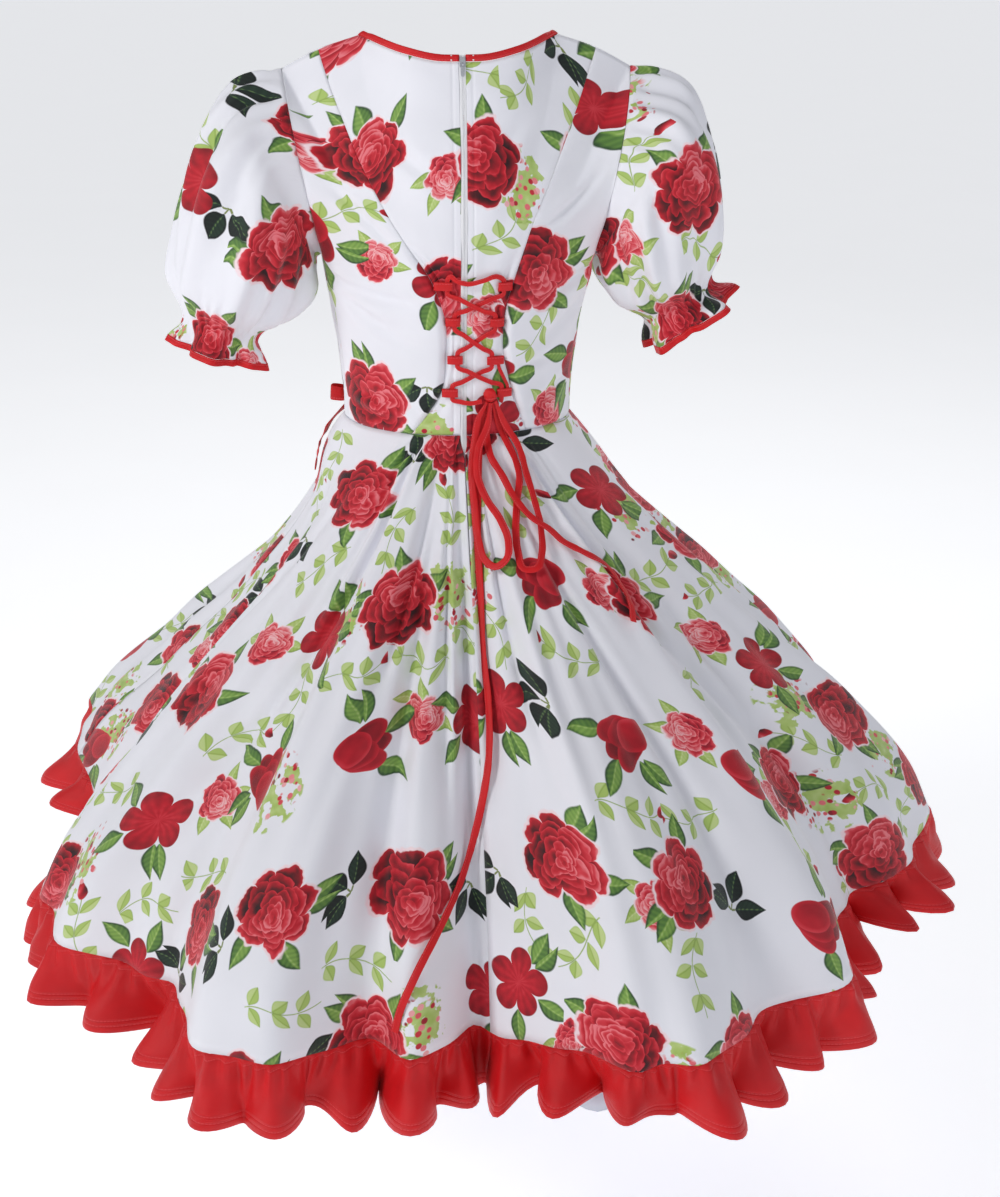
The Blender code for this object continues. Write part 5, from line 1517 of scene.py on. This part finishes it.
def knot_piece(name, centre, axes, sizes, nodes):
    """A knot with the folds of the ribbon that is wound round it."""
    turn, rise = np.meshgrid(np.linspace(0, 2 * math.pi, 41), np.linspace(-0.5, 0.5, 25) * math.pi)
    radius = 0.97 + 0.06 * np.sin(turn * 3 + rise * 4) * np.cos(rise) + 0.03 * np.sin(rise * 9 + turn)
    ball = np.stack([np.cos(turn) * np.cos(rise), np.sin(turn) * np.cos(rise), np.sin(rise)], -1)
    points = centre + (ball * radius[..., None] * sizes) @ np.array(axes)
    flat = np.stack([turn * 0.006, rise * 0.006], -1)
    return cloth(name, points, flat, "Red ribbon", nodes, lambda at: at - centre, ring=True, thickness=0.0004)


def from_axis(points):
    """Directions from the dress's upright axis."""
    return points * [1, 1, 0]


def add_camera():
    """The camera at the photo's view of the dress's back."""
    bpy.context.scene.view_settings.view_transform = "Standard"
    camera = bpy.data.cameras.new("Camera")
    camera.sensor_fit, camera.sensor_width = "HORIZONTAL", 36.0
    camera.lens = 1.724 * 36.0
    camera.shift_x = 0.043
    camera.clip_start, camera.clip_end = 0.05, 60
    obj = bpy.data.objects.new("Camera", camera)
    azimuth, distance = math.radians(-4.24), 1.9
    obj.location = (math.sin(azimuth) * distance, -math.cos(azimuth) * distance, 0.152)
    obj.rotation_euler = (math.radians(90 - 22.86), 0, azimuth)
    bpy.context.scene.collection.objects.link(obj)
    bpy.context.scene.camera = obj


def add_light(name, place, size, power, colour):
    """A soft area light that looks at the middle of the dress."""
    light = bpy.data.lights.new(name, "AREA")
    light.shape, light.size, light.energy, light.color = "DISK", size, power, colour
    obj = bpy.data.objects.new(name, light)
    obj.location = place
    aim = np.array([0, 0, -0.5]) - np.array(place)
    yaw = math.atan2(aim[1], aim[0]) - math.pi / 2
    obj.rotation_euler = (math.pi / 2 + math.atan2(aim[2], math.hypot(*aim[:2])), 0, yaw)
    bpy.context.scene.collection.objects.link(obj)


# Each lamp's name, place, size, power in watts and colour
LAMPS = (
    ("Key light", (-2.6, -1.7, 1.5), 1.0, 50, (1.0, 0.99, 0.97)),
    ("Fill light", (2.2, -2.4, 0.9), 2.0, 10, (0.93, 0.95, 1.0)),
    ("Rim light", (0.9, 2.4, 2.0), 1.6, 26, (1.0, 1.0, 1.0)),
)
FLOOR_HEIGHT = -1.45
FLOOR_SIZE = 400


def add_stage():
    """A plain pale floor, pale surroundings and soft studio light."""
    scene = bpy.context.scene
    bpy.ops.mesh.primitive_plane_add(size=FLOOR_SIZE, location=(0, 0, FLOOR_HEIGHT))
    floor_piece = bpy.context.object
    floor_piece.name = "Floor"
    pale = bpy.data.materials.new("Pale floor")
    pale.use_nodes = True
    tree = pale.node_tree
    shader = tree.nodes["Principled BSDF"]
    place = tree.nodes.new("ShaderNodeTexCoord").outputs["Object"]
    tree.links.new(
        ramp(tree, noise(tree, place, 3.0, 2.0), shades(scene.dress_colours.floor, 0.97, 1.02)),
        shader.inputs["Base Color"],
    )
    shader.inputs["Roughness"].default_value = 0.9
    shader.inputs["Emission Color"].default_value = (0.97, 0.98, 1.0, 1)
    shader.inputs["Emission Strength"].default_value = 0.52
    floor_piece.data.materials.append(pale)
    scene.world = bpy.data.worlds.new("Pale surroundings")
    scene.world.use_nodes = True
    tree = scene.world.node_tree
    back = tree.nodes["Background"]
    height = split(tree, tree.nodes.new("ShaderNodeTexCoord").outputs["Generated"])[2]
    pale = clamped(1 - height * 1.6)
    back.inputs[0].default_value = (0.93, 0.95, 1.0, 1)
    put(tree, back.inputs[1], (pale * 0.62 + 0.38) * scene.dress_colours.surroundings)
    for name, place, size, power, colour in LAMPS:
        add_light(name, place, size, power * scene.dress_colours.light, colour)


def straight(start, end, lift):
    """Stops along a straight run between two others, which is highest half way."""
    low = (start[2] + lift) / 2
    shares = ((0.25, low), (0.5, lift), (0.75, low))
    return [
        (start[0] + (end[0] - start[0]) * at, start[1] + (end[1] - start[1]) * at, height)
        for at, height in shares
    ]


def make_cords():
    """The crossed lace with its knot, the bow's loops and the lace's two free ends."""
    tie = lace_tie()
    tie_knot = knot_piece("red_lace_knot", *tie, ["lace_knot"])
    gate, under, over = LOOP_LIFT + LOOP_DEPTH / 2, 0.0021, 0.0050
    lace_width = bpy.context.scene.dress_sizes.lace_width
    for name, rows, lifts in (
        ("a", (0, 3, 4, 7), (over, under, over)),
        ("b", (1, 2, 5, 6), (under, over, under)),
    ):
        stops = []
        for i, row in enumerate(rows):
            through_loop = loop_stops(row)
            if i:
                stops += straight(stops[-1], through_loop[0], lifts[i - 1])
            stops += through_loop
        if name == "a":
            run = [(0.0415, -0.2505, gate), (0.0410, -0.2440, gate), (0.034, -0.2395, 0.0040)]
            run += [(0.019, -0.2430, 0.0050), (0.003, -0.2460, 0.0045), (-0.009, -0.2420, 0.0050)]
            stops = run + [(-0.0145, -0.2380, 0.0040)] + stops
            stops += [(0.0390, -0.3790, 0.0045)]
        else:
            stops = stops[2:]
            stops += [(-0.004, -0.3765, 0.0040), (0.008, -0.3780, 0.0060), (0.0185, -0.3755, 0.0085)]
        route, facing = lace_route(stops, 180)
        tied_cord(f"lace_{name}", route, facing, lace_width, 0.12)
    stops = [(0.0372, -0.330, gate), (0.0372, -0.338, gate), (0.0425, -0.351, 0.0024)]
    stops += [(0.0475, -0.363, gate), (0.0478, -0.370, gate)]
    route, facing = lace_route(stops, 30)
    tied_cord("lace_side_run", route, facing, lace_width * 0.75, 0.3)
    bow_width = bpy.context.scene.dress_sizes.bow_width
    for name, rows, ends, far_end in (
        ("bow_loop_left", BOW_LOOP_LEFT, (0, -1), "object"),
        ("bow_loop_right", BOW_LOOP_RIGHT, (0, -1), "object"),
        ("lace_end_long", LONG_END, (0,), "bare"),
        ("lace_end_short", SHORT_END, (0,), "bare"),
    ):
        stops = list(zip(rows["x"], rows["height"], rows["lift"]))
        route, facing = lace_route(stops, 110, (ends, *tie))
        route = over_ripples(route)
        width = tapered(route_length(route), 110, ends) * bow_width / BOW_WIDTH
        on_it = [tie_knot] if name == "bow_loop_left" else []
        tied_cord(name, route, facing, width, 0.10)


def over_ripples(route):
    """A ribbon's route below the waist, moved out with the skirt's ripples and over their tops."""
    turns, lengths = np.linspace(-70, 70, 281), np.linspace(0, 1, 101)
    rises = []
    for x, _, z in route:
        fall = (z - WAIST_HEIGHT) / (hem_point(turns)[:, 2] - WAIST_HEIGHT)
        along = np.interp(fall, read(FLARE, "drop", lengths), lengths)
        turn = np.interp(x, skirt(turns, along)[:, 0], turns)
        rises.append(float(ripple(turn, np.interp(turn, turns, along))) if z < WAIST_HEIGHT else 0.0)
    rises = np.pad(rises, 4, mode="edge")
    tops = np.max([rises[i : i + len(route)] for i in range(9)], axis=0)
    tops = np.convolve(np.pad(tops, 4, mode="edge"), np.full(9, 1 / 9), mode="valid")
    out = route * [1, 1, 0]
    out /= np.linalg.norm(out, axis=1, keepdims=True)
    return route + out * (tops * ease(0, 0.03, WAIST_HEIGHT - route[:, 2]))[:, None]


def route_length(route):
    return float(np.linalg.norm(np.diff(route, axis=0), axis=1).sum())


def tied_cord(name, route, facing, width, roll):
    """A ribbon that stands for the solid of its name, with its width and roll."""
    obj = strip("red_" + name, route, facing, width, [name], roll=roll)


def make_bodice():
    """The bodice's five printed panels."""
    rises = np.linspace(0.9995, 0.0, 110)
    panels = (
        ("back", np.append(np.linspace(0, 0.09, 26), np.linspace(0.09, PRINCESS_SHARE - 0.0002, 38)[1:])),
        ("side_back", np.linspace(PRINCESS_SHARE + 0.0002, 0.9998, 54)),
    )
    for side, hand in ((-1, "left"), (1, "right")):
        for part, around in panels:
            grid_u, grid_v = np.meshgrid(around, rises)
            points = bodice_cloth(side, grid_u, grid_v)
            shift = (0.468 + 0.012 * side, 0.07) if part == "back" else (0.26 + 0.37 * side, 0.93)
            name = f"{part}_{hand}"
            flat = flat_bodice(points, True, shift)
            obj = cloth(
                f"printed_{name}", points, flat, "Printed cloth", [name], from_axis,
                wrong_side="Print's wrong side",
            )
            on_it = [f"white_zip_tape_{hand}"]
            if part == "side_back":
                on_it = [f"red_lacing_loop_{hand}_{row}" for row in range(1, 5)]
            else:
                on_it += ["white_zip_teeth"] if side > 0 else []
    grid_u, grid_v = np.meshgrid(np.linspace(1.0002, 2.0, 96), rises)
    left, right = bodice_cloth(-1, grid_u, grid_v), bodice_cloth(1, grid_u, grid_v)
    points = np.concatenate([left, right[:, ::-1][:, 1:]], axis=1)
    obj = cloth(
        "printed_bodice_front", points, flat_bodice(points, False, (0.9, 0.3)), "Printed cloth",
        ["bodice_front"], from_axis, wrong_side="Print's wrong side",
    )


def from_middles(points):
    """Directions from the middle of each ring of a sleeve."""
    return points - points.mean(axis=1, keepdims=True)


def make_sleeves():
    """Two printed puff sleeves with red bindings on their frills."""
    psi = np.linspace(180, 540, 193)
    arm = np.concatenate([np.linspace(0, 1, 72), np.linspace(1, FRILL_EDGE - 0.001, 14)[1:]])
    for side, hand in ((-1, "left"), (1, "right")):
        grid_u, grid_v = np.meshgrid(psi, np.linspace(FRILL_EDGE, FRILL_EDGE + 0.04, 5))
        points = sleeve_cloth(side, grid_u, grid_v)
        out = from_middles(points)
        points = points + out / np.linalg.norm(out, axis=-1, keepdims=True) * 0.0005
        binding = cloth(
            f"red_cuff_binding_{hand}", points, flat_strip(points), "Red binding",
            [f"cuff_binding_{hand}"], from_middles, ring=True, thickness=BINDING_CLOTH,
        )
        grid_u, grid_v = np.meshgrid(psi, arm)
        points = sleeve_cloth(side, grid_u, grid_v)
        flat = flat_sleeve(points, SLEEVE_CUT_WIDTH, (1.3 + 0.4 * side, 0.51))
        obj = cloth(
            f"printed_sleeve_{hand}", points, flat, "Printed cloth", [f"sleeve_{hand}"],
            from_middles, ring=True, wrong_side="Print's wrong side",
        )


def skirt_columns(start, end, step):
    """Turn angles from one seam to the next, a set step apart along the hem."""
    if end < start:
        end = end + 360
    turns = np.concatenate([HEM_TURNS, HEM_TURNS[1:] + 360])
    lengths = np.concatenate([HEM_LENGTHS, HEM_LENGTHS[1:] + HEM_LENGTHS[-1]])
    low, high = np.interp([start, end], turns, lengths)
    return np.interp(np.linspace(low, high, int((high - low) / step) + 1), lengths, turns)


def make_skirt():
    """The skirt's three printed panels, cut as parts of a circle."""
    left_seam, right_seam = SKIRT_SEAMS
    along = np.concatenate([np.linspace(0.0, 0.24, 26), np.linspace(0.24, 1.0, 50)[1:]])
    for part, start, end, shift in (
        ("back_left", left_seam + 0.03, -0.0002, (0.011, 0.05)),
        ("back_right", 0.0002, right_seam - 0.03, (-0.02, 0.03)),
        ("front", right_seam + 0.03, left_seam - 0.03, (0.3, 0.2)),
    ):
        turns = skirt_columns(start, end, 0.0085)
        grid_u, grid_v = np.meshgrid(turns, along)
        points = skirt_cloth(grid_u, grid_v)
        turn = (grid_u + 180) % 360 - 180
        hem = np.interp(turn, HEM_TURNS, HEM_LENGTHS) - np.interp(0.0, HEM_TURNS, HEM_LENGTHS)
        if part == "front":
            hem = np.where(turn < 0, hem + HEM_LENGTHS[-1], hem)
        radius = FLAT_WAIST_RADIUS + FLAT_SKIRT_LENGTH * grid_v
        sector = hem / (FLAT_WAIST_RADIUS + FLAT_SKIRT_LENGTH)
        flat = np.stack([radius * np.sin(sector) + shift[0], -radius * np.cos(sector) + shift[1]], -1)
        name = f"skirt_{part}"
        obj = cloth(
            f"printed_{name}", points, flat, "Printed cloth", [name], from_axis,
            wrong_side="Print's wrong side",
        )


def make_ruffle():
    """The red ruffle in three pieces, gathered to the skirt's edge."""
    left_seam, right_seam = SKIRT_SEAMS
    down = np.linspace(0.0002, RUFFLE_LENGTH, 22)
    for part, start, end in (
        ("back_left", left_seam + 0.03, -0.01),
        ("back_right", 0.01, right_seam - 0.03),
        ("front", right_seam + 0.03, left_seam - 0.03),
    ):
        turns = skirt_columns(start, end, 0.0036)
        grid_u, grid_v = np.meshgrid(turns, down)
        points = ruffle_cloth(grid_u, grid_v)
        across = steps_along(points, 1).mean(axis=0, keepdims=True) + 0 * grid_v
        name = f"ruffle_{part}"
        flat = np.stack([across, grid_v], -1)
        obj = cloth(f"red_{name}", points, flat, "Red ruffle", [name], from_axis)


def make_underskirt():
    """The plain white underskirt, which shows below the ruffle in three places."""
    turns = np.linspace(-180, 180, 361)
    grid_u, grid_v = np.meshgrid(turns, np.linspace(0, 1, 50))
    points = underskirt(grid_u, grid_v)
    out = points * [1, 1, 0]
    out /= np.linalg.norm(out, axis=-1, keepdims=True)
    t = np.radians(grid_u)
    folds = 0.004 * np.sin(t * 37 + 1.4 * np.sin(t * 4)) + 0.003 * np.sin(t * 61 + np.sin(t * 7))
    points = points + out * (folds * ease(0.25, 0.9, grid_v))[..., None]
    obj = cloth(
        "white_underskirt", points, flat_cut(points), "Underskirt", ["underskirt"], from_axis,
        ring=True,
    )


def neck_edge(side, columns, share_across):
    """Points over the neck binding: 0 across at the neckline and 1 at its free edge."""
    edge, normal = bodice(side, columns, 1.0), bodice_normal(side, columns, 1.0)
    away = top_edge_away(side, columns)
    share = np.where(columns <= 1, columns, 2 - columns)
    lean = away.copy()
    for near, weight in ((NECK_SHARE - 0.05, 1.0), (0.16, 0.5)):
        at_shoulder = weight * ease(near, NECK_SHARE, share)[..., None]
        lean = lean + at_shoulder * (np.array([-0.85 * side, 0.0, 0.53]) - lean)
    lean /= np.linalg.norm(lean, axis=-1, keepdims=True)
    crown = 0.0004 + 0.0006 * np.sin(math.pi * share_across)
    return edge + lean * (0.0002 + BINDING_WIDTH * share_across) + normal * crown


def make_bindings():
    """The red binding round the neck, open at the zip."""
    back = np.linspace(0, NECK_SHARE, 40)
    columns = np.concatenate([back, 2 - back[-2::-1]])
    rows = []
    for across in np.linspace(0, 1, 7):
        left, right = neck_edge(-1, columns, across), neck_edge(1, columns, across)
        rows.append(np.concatenate([left, right[::-1][1:]]))
    points = np.stack(rows)
    cloth(
        "red_neck_binding", points, flat_strip(points), "Red binding", ["neck_binding"],
        lambda at: at - [0, 0, -0.2], thickness=NECK_BINDING_CLOTH,
    )
    ends = neck_edge(1, np.array([0.022, 0.027]), np.array([0.1, 0.95])[:, None, None])
    for side, hand in ((-1, "left"), (1, "right")):
        bar = ends * [side, 1, 1] + [0, -0.0003, 0]
        cloth(
            f"white_stitches_{hand}", bar, flat_strip(bar), "Zip tape", [],
            lambda at: at * [0, 1, 0], thickness=0.0004,
        )


def make_loops():
    """The eight flat loops that the lace runs through."""
    for row, (side, height, inner) in enumerate(zip(LOOPS["side"], LOOPS["height"], LOOPS["inner"])):
        outer = read(LACED_SEAM, "left" if side < 0 else "right", height) - 0.0012
        lift = LOOP_LIFT + LOOP_DEPTH / 2
        start, end = on_back(side * inner, height, lift)[0], on_back(side * outer, height, lift)[0]
        along = (end - start) * [1, 1, 0]
        size = np.linalg.norm(along)
        along /= size
        out = np.array([along[1], -along[0], 0.0]) * side
        middle = side * (inner + outer) / 2
        ends = [on_back(middle, height + step * LOOP_HEIGHT / 2, lift)[0] for step in (1, -1)]
        centre, tilt = (ends[0] + ends[1]) / 2, (ends[0] - ends[1]) / 2
        turns = np.linspace(0, 2 * math.pi, 41)
        run = size / 2 * np.cos(turns)
        bulge = LOOP_DEPTH / 2 * (1 + 0.05 * np.sin(turns * 3 + row))
        ring = centre + run[:, None] * along + (bulge * np.sin(turns))[:, None] * out
        points = np.stack([ring + tilt * share for share in (1, 0.9, 0.45, 0, -0.45, -0.9, -1)])
        name = f"lacing_loop_{'left' if side < 0 else 'right'}_{row // 2 + 1}"
        cloth(
            f"red_{name}", points, flat_strip(points), "Red binding", [name],
            lambda at: at - centre, ring=True, thickness=LOOP_CLOTH,
        )


def make_front_bow():
    """The wider bow at the front of the waist."""
    turn = math.radians(FRONT_BOW_TURN)
    x, y = torso(FRONT_BOW_TURN, WAIST_HEIGHT)
    out = np.array([x / 0.128**2, y / 0.097**2, 0.0])
    out /= np.linalg.norm(out)
    aside = np.array([-out[1], out[0], 0.0]) * np.sign(turn)
    centre = np.array([x, y, WAIST_HEIGHT + 0.007]) + out * 0.0068
    tie = (centre, [aside, out, (0, 0, 1)], np.array([0.008, 0.0055, 0.009]))
    front_knot = knot_piece("red_front_knot", *tie, ["front_knot"])
    pieces = []
    for name, way in (("rear", -1), ("fore", 1)):
        stops = [
            centre + aside * way * row_aside + out * row_out + [0, 0, row_up]
            for row_aside, row_out, row_up in zip(*(FRONT_LOOP[key] for key in ("aside", "out", "up")))
        ]
        for end in (0, -1):
            stops[end] = beside_knot(stops[end], *tie)
        route, _ = through(stops, 40, stops)
        width = FRONT_BOW_WIDTH * (0.55 + 0.45 * np.sin(np.linspace(0, math.pi, 40)))
        pieces.append(
            (f"front_loop_{name}", route, np.cross(np.gradient(route, axis=0), (0, 0, 1)), width),
        )
    for name, rows in (("rear", FRONT_END_REAR), ("fore", FRONT_END_FORE)):
        point = skirt(rows["turn"], rows["along"])
        facing = -normals_of(skirt, rows["turn"], rows["along"], 4.0, 0.03)
        stops = point + facing * rows["lift"][:, None]
        stops[0] = beside_knot(stops[0], *tie)
        route, facing = through(stops, 30, facing)
        width = FRONT_BOW_WIDTH * (0.55 + 0.45 * ease(0, 15, np.arange(30)))
        pieces.append((f"front_end_{name}", route, facing, width))
    for name, route, facing, width in pieces:
        on_it = [front_knot] if name == "front_loop_rear" else []
        far_end = "object" if "loop" in name else "bare"
        tied_cord(name, route, facing, width, 0.12)


def zip_line():
    """The zip's middle line from its top down, and its outward directions."""
    rises = np.linspace(0.985, 0.0, 90)
    lengths = np.linspace(0.004, 0.215, 34)
    neck = bodice(1, np.array([0.0]), 1.0) + top_edge_away(1, np.array([0.0])) * 0.0065
    line = np.concatenate([neck, bodice(1, 0.0, rises), skirt(0.0001, lengths)])
    middle = line * [0, 1, 1] + [0, 0.0004, 0]
    ahead = np.gradient(middle, axis=0)
    out = np.cross(ahead, [1.0, 0, 0])
    out /= np.linalg.norm(out, axis=1, keepdims=True)
    return middle, out * np.where(out[:, 1:2] > 0, -1, 1)


def make_zip():
    """The zip's two tapes and its teeth, and a metal finish for its slider and pull tab."""
    middle, out = zip_line()
    for side, hand in ((-1, "left"), (1, "right")):
        across = np.linspace(0.0001, ZIP_HALF_WIDTH, 7)
        crown = 0.0004 * np.sin(across / ZIP_HALF_WIDTH * math.pi)
        points = middle[:, None] + side * across[None, :, None] * np.array([1.0, 0, 0])
        points = points + out[:, None] * crown[None, :, None]
        flat = np.stack(np.broadcast_arrays(across[None], steps_along(middle[:, None], 0)), -1)
        cloth(
            f"white_zip_tape_{hand}", points, flat, "Zip tape", [f"zip_tape_{hand}"],
            lambda at: at * [0, 1, 0], thickness=0.0009,
        )
    lengths = steps_along(middle[:, None], 0)[:, 0]
    at = np.arange(0.016, lengths[-1] - 0.004, 0.0016)
    places = np.stack([np.interp(at, lengths, middle[:, axis]) for axis in range(3)], -1)
    facing = np.stack([np.interp(at, lengths, out[:, axis]) for axis in range(3)], -1)
    ahead = np.gradient(places, axis=0)
    ahead /= np.linalg.norm(ahead, axis=1, keepdims=True)
    corner = np.array([(x, y, z) for x in (-1, 1) for y in (-1, 1) for z in (-1, 1)], float)
    sides = [(0, 1, 3, 2), (4, 6, 7, 5), (0, 4, 5, 1), (2, 3, 7, 6), (0, 2, 6, 4), (1, 5, 7, 3)]
    points, faces = [], []
    for i, (place, face, way) in enumerate(zip(places, facing, ahead)):
        step = 0.0003 if i % 2 else -0.0003
        box = place + corner[:, :1] * [0.0011, 0, 0]
        box = box + corner[:, 1:2] * face * 0.0003 + corner[:, 2:] * way * 0.00045
        points.append(box + face * 0.0005 + [step, 0, 0])
        faces += [[8 * i + c for c in side] for side in sides]
    mesh = bpy.data.meshes.new("white_zip_teeth")
    mesh.from_pydata(np.concatenate(points).tolist(), [], faces)
    mesh.uv_layers.new(name="flat")
    mesh.materials.append(finish_named("Zip tape"))
    teeth = bpy.data.objects.new("white_zip_teeth", mesh)
    bpy.context.scene.collection.objects.link(teeth)
    taken(teeth, [])
    for node in ("zip_slider", "zip_pull"):
        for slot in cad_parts[node].material_slots:
            slot.material = finish_named("Zip metal")


class DressSizes(bpy.types.PropertyGroup):
    """The sizes of the dress's cloth and ribbons."""

    thickness: FloatProperty(
        name="Cloth", description="Thickness of the cloth", default=0.0009, min=0.0003, max=0.002,
        unit="LENGTH",
    )
    crease_share: FloatProperty(
        name="Creases", description="Depth of the folds and creases, as a share of the usual one",
        default=1.0, min=0.0, max=2.0,
    )
    ruffle_share: FloatProperty(
        name="Ruffle", description="Fullness of the ruffle, as a share of the usual one",
        default=1.0, min=0.0, max=1.5,
    )
    lace_width: FloatProperty(
        name="Lace", description="Width of the crossed lace", default=LACE_WIDTH, min=0.003,
        max=0.008, unit="LENGTH",
    )
    bow_width: FloatProperty(
        name="Bow", description="Width of the ribbon of the lace's bow", default=BOW_WIDTH,
        min=0.004, max=0.012, unit="LENGTH",
    )


class DressColours(bpy.types.PropertyGroup):
    """The colours of the dress and of its stage."""

    red: FloatVectorProperty(
        name="Red", description="Colour of the ruffle, bindings and ribbons",
        default=linear("#d40e17")[:3], size=3, min=0, max=1, subtype="COLOR",
    )
    ground: FloatVectorProperty(
        name="Ground", description="Ground colour of the print", default=linear("#f2f2f9")[:3],
        size=3, min=0, max=1, subtype="COLOR",
    )
    floor: FloatVectorProperty(
        name="Floor", description="Colour of the floor", default=linear("#f8f8f9")[:3], size=3,
        min=0, max=1, subtype="COLOR",
    )
    light: FloatProperty(
        name="Light", description="Strength of the lamps, as a share of the usual one",
        default=1.0, min=0.0, max=5.0,
    )
    surroundings: FloatProperty(
        name="Surroundings", description="Strength of the pale surroundings", default=0.66,
        min=0.0, max=3.0,
    )


class DRESS_OT_stage(bpy.types.Operator):
    """Adds the camera, the pale floor and the soft studio light"""

    bl_idname = "dress.stage"
    bl_label = "Camera and stage"

    def execute(self, context):
        add_camera()
        add_stage()
        return {"FINISHED"}


class DRESS_OT_lacing(bpy.types.Operator):
    """Adds the crossed lace, its knot, the bow's loops and the free ends"""

    bl_idname = "dress.lacing"
    bl_label = "Lace and bow"

    def execute(self, context):
        make_cords()
        return {"FINISHED"}


class DRESS_OT_loops(bpy.types.Operator):
    """Adds the eight loops that the lace runs through"""

    bl_idname = "dress.loops"
    bl_label = "Lacing loops"

    def execute(self, context):
        make_loops()
        return {"FINISHED"}


class DRESS_OT_zip(bpy.types.Operator):
    """Adds the zip's tapes and teeth, and finishes its slider and pull tab"""

    bl_idname = "dress.zip"
    bl_label = "Zip"

    def execute(self, context):
        make_zip()
        return {"FINISHED"}


class DRESS_OT_binding(bpy.types.Operator):
    """Adds the red binding round the neck"""

    bl_idname = "dress.binding"
    bl_label = "Neck binding"

    def execute(self, context):
        make_bindings()
        return {"FINISHED"}


class DRESS_OT_bodice(bpy.types.Operator):
    """Adds the five printed panels of the bodice"""

    bl_idname = "dress.bodice"
    bl_label = "Bodice"

    def execute(self, context):
        make_bodice()
        return {"FINISHED"}


class DRESS_OT_sleeves(bpy.types.Operator):
    """Adds the two puff sleeves and the bindings on their frills"""

    bl_idname = "dress.sleeves"
    bl_label = "Sleeves"

    def execute(self, context):
        make_sleeves()
        return {"FINISHED"}


class DRESS_OT_skirt(bpy.types.Operator):
    """Adds the three printed panels of the skirt"""

    bl_idname = "dress.skirt"
    bl_label = "Skirt"

    def execute(self, context):
        make_skirt()
        return {"FINISHED"}


class DRESS_OT_ruffle(bpy.types.Operator):
    """Adds the red ruffle on the skirt's edge"""

    bl_idname = "dress.ruffle"
    bl_label = "Ruffle"

    def execute(self, context):
        make_ruffle()
        return {"FINISHED"}


class DRESS_OT_underskirt(bpy.types.Operator):
    """Adds the plain white underskirt"""

    bl_idname = "dress.underskirt"
    bl_label = "Underskirt"

    def execute(self, context):
        make_underskirt()
        return {"FINISHED"}


class DRESS_OT_front_bow(bpy.types.Operator):
    """Adds the wider bow at the front of the waist"""

    bl_idname = "dress.front_bow"
    bl_label = "Front bow"

    def execute(self, context):
        make_front_bow()
        return {"FINISHED"}


class DRESS_PT_steps(bpy.types.Panel):
    """The dress's settings and its steps."""

    bl_idname = "DRESS_PT_steps"
    bl_label = "Cueca dress"
    bl_space_type = "VIEW_3D"
    bl_region_type = "UI"
    bl_category = "Dress"

    def draw(self, context):
        layout = self.layout
        for settings in (context.scene.dress_sizes, context.scene.dress_colours):
            for name in settings.__annotations__:
                layout.prop(settings, name)
        for step in STEPS:
            layout.operator(step.bl_idname)


STEPS = (
    DRESS_OT_stage,
    DRESS_OT_lacing,
    DRESS_OT_front_bow,
    DRESS_OT_loops,
    DRESS_OT_zip,
    DRESS_OT_binding,
    DRESS_OT_bodice,
    DRESS_OT_sleeves,
    DRESS_OT_skirt,
    DRESS_OT_ruffle,
    DRESS_OT_underskirt,
)
CLASSES = (DressSizes, DressColours, *STEPS, DRESS_PT_steps)


def register():
    for found in CLASSES:
        bpy.utils.register_class(found)
    bpy.types.Scene.dress_sizes = PointerProperty(type=DressSizes)
    bpy.types.Scene.dress_colours = PointerProperty(type=DressColours)


def unregister():
    del bpy.types.Scene.dress_colours
    del bpy.types.Scene.dress_sizes
    for found in reversed(CLASSES):
        bpy.utils.unregister_class(found)


def main():
    register()
    bpy.ops.dress.stage()
    bpy.ops.dress.lacing()
    bpy.ops.dress.front_bow()
    bpy.ops.dress.loops()
    bpy.ops.dress.zip()
    bpy.ops.dress.binding()
    bpy.ops.dress.bodice()
    bpy.ops.dress.sleeves()
    bpy.ops.dress.skirt()
    bpy.ops.dress.ruffle()
    bpy.ops.dress.underskirt()


if __name__ == "__main__":
    main()
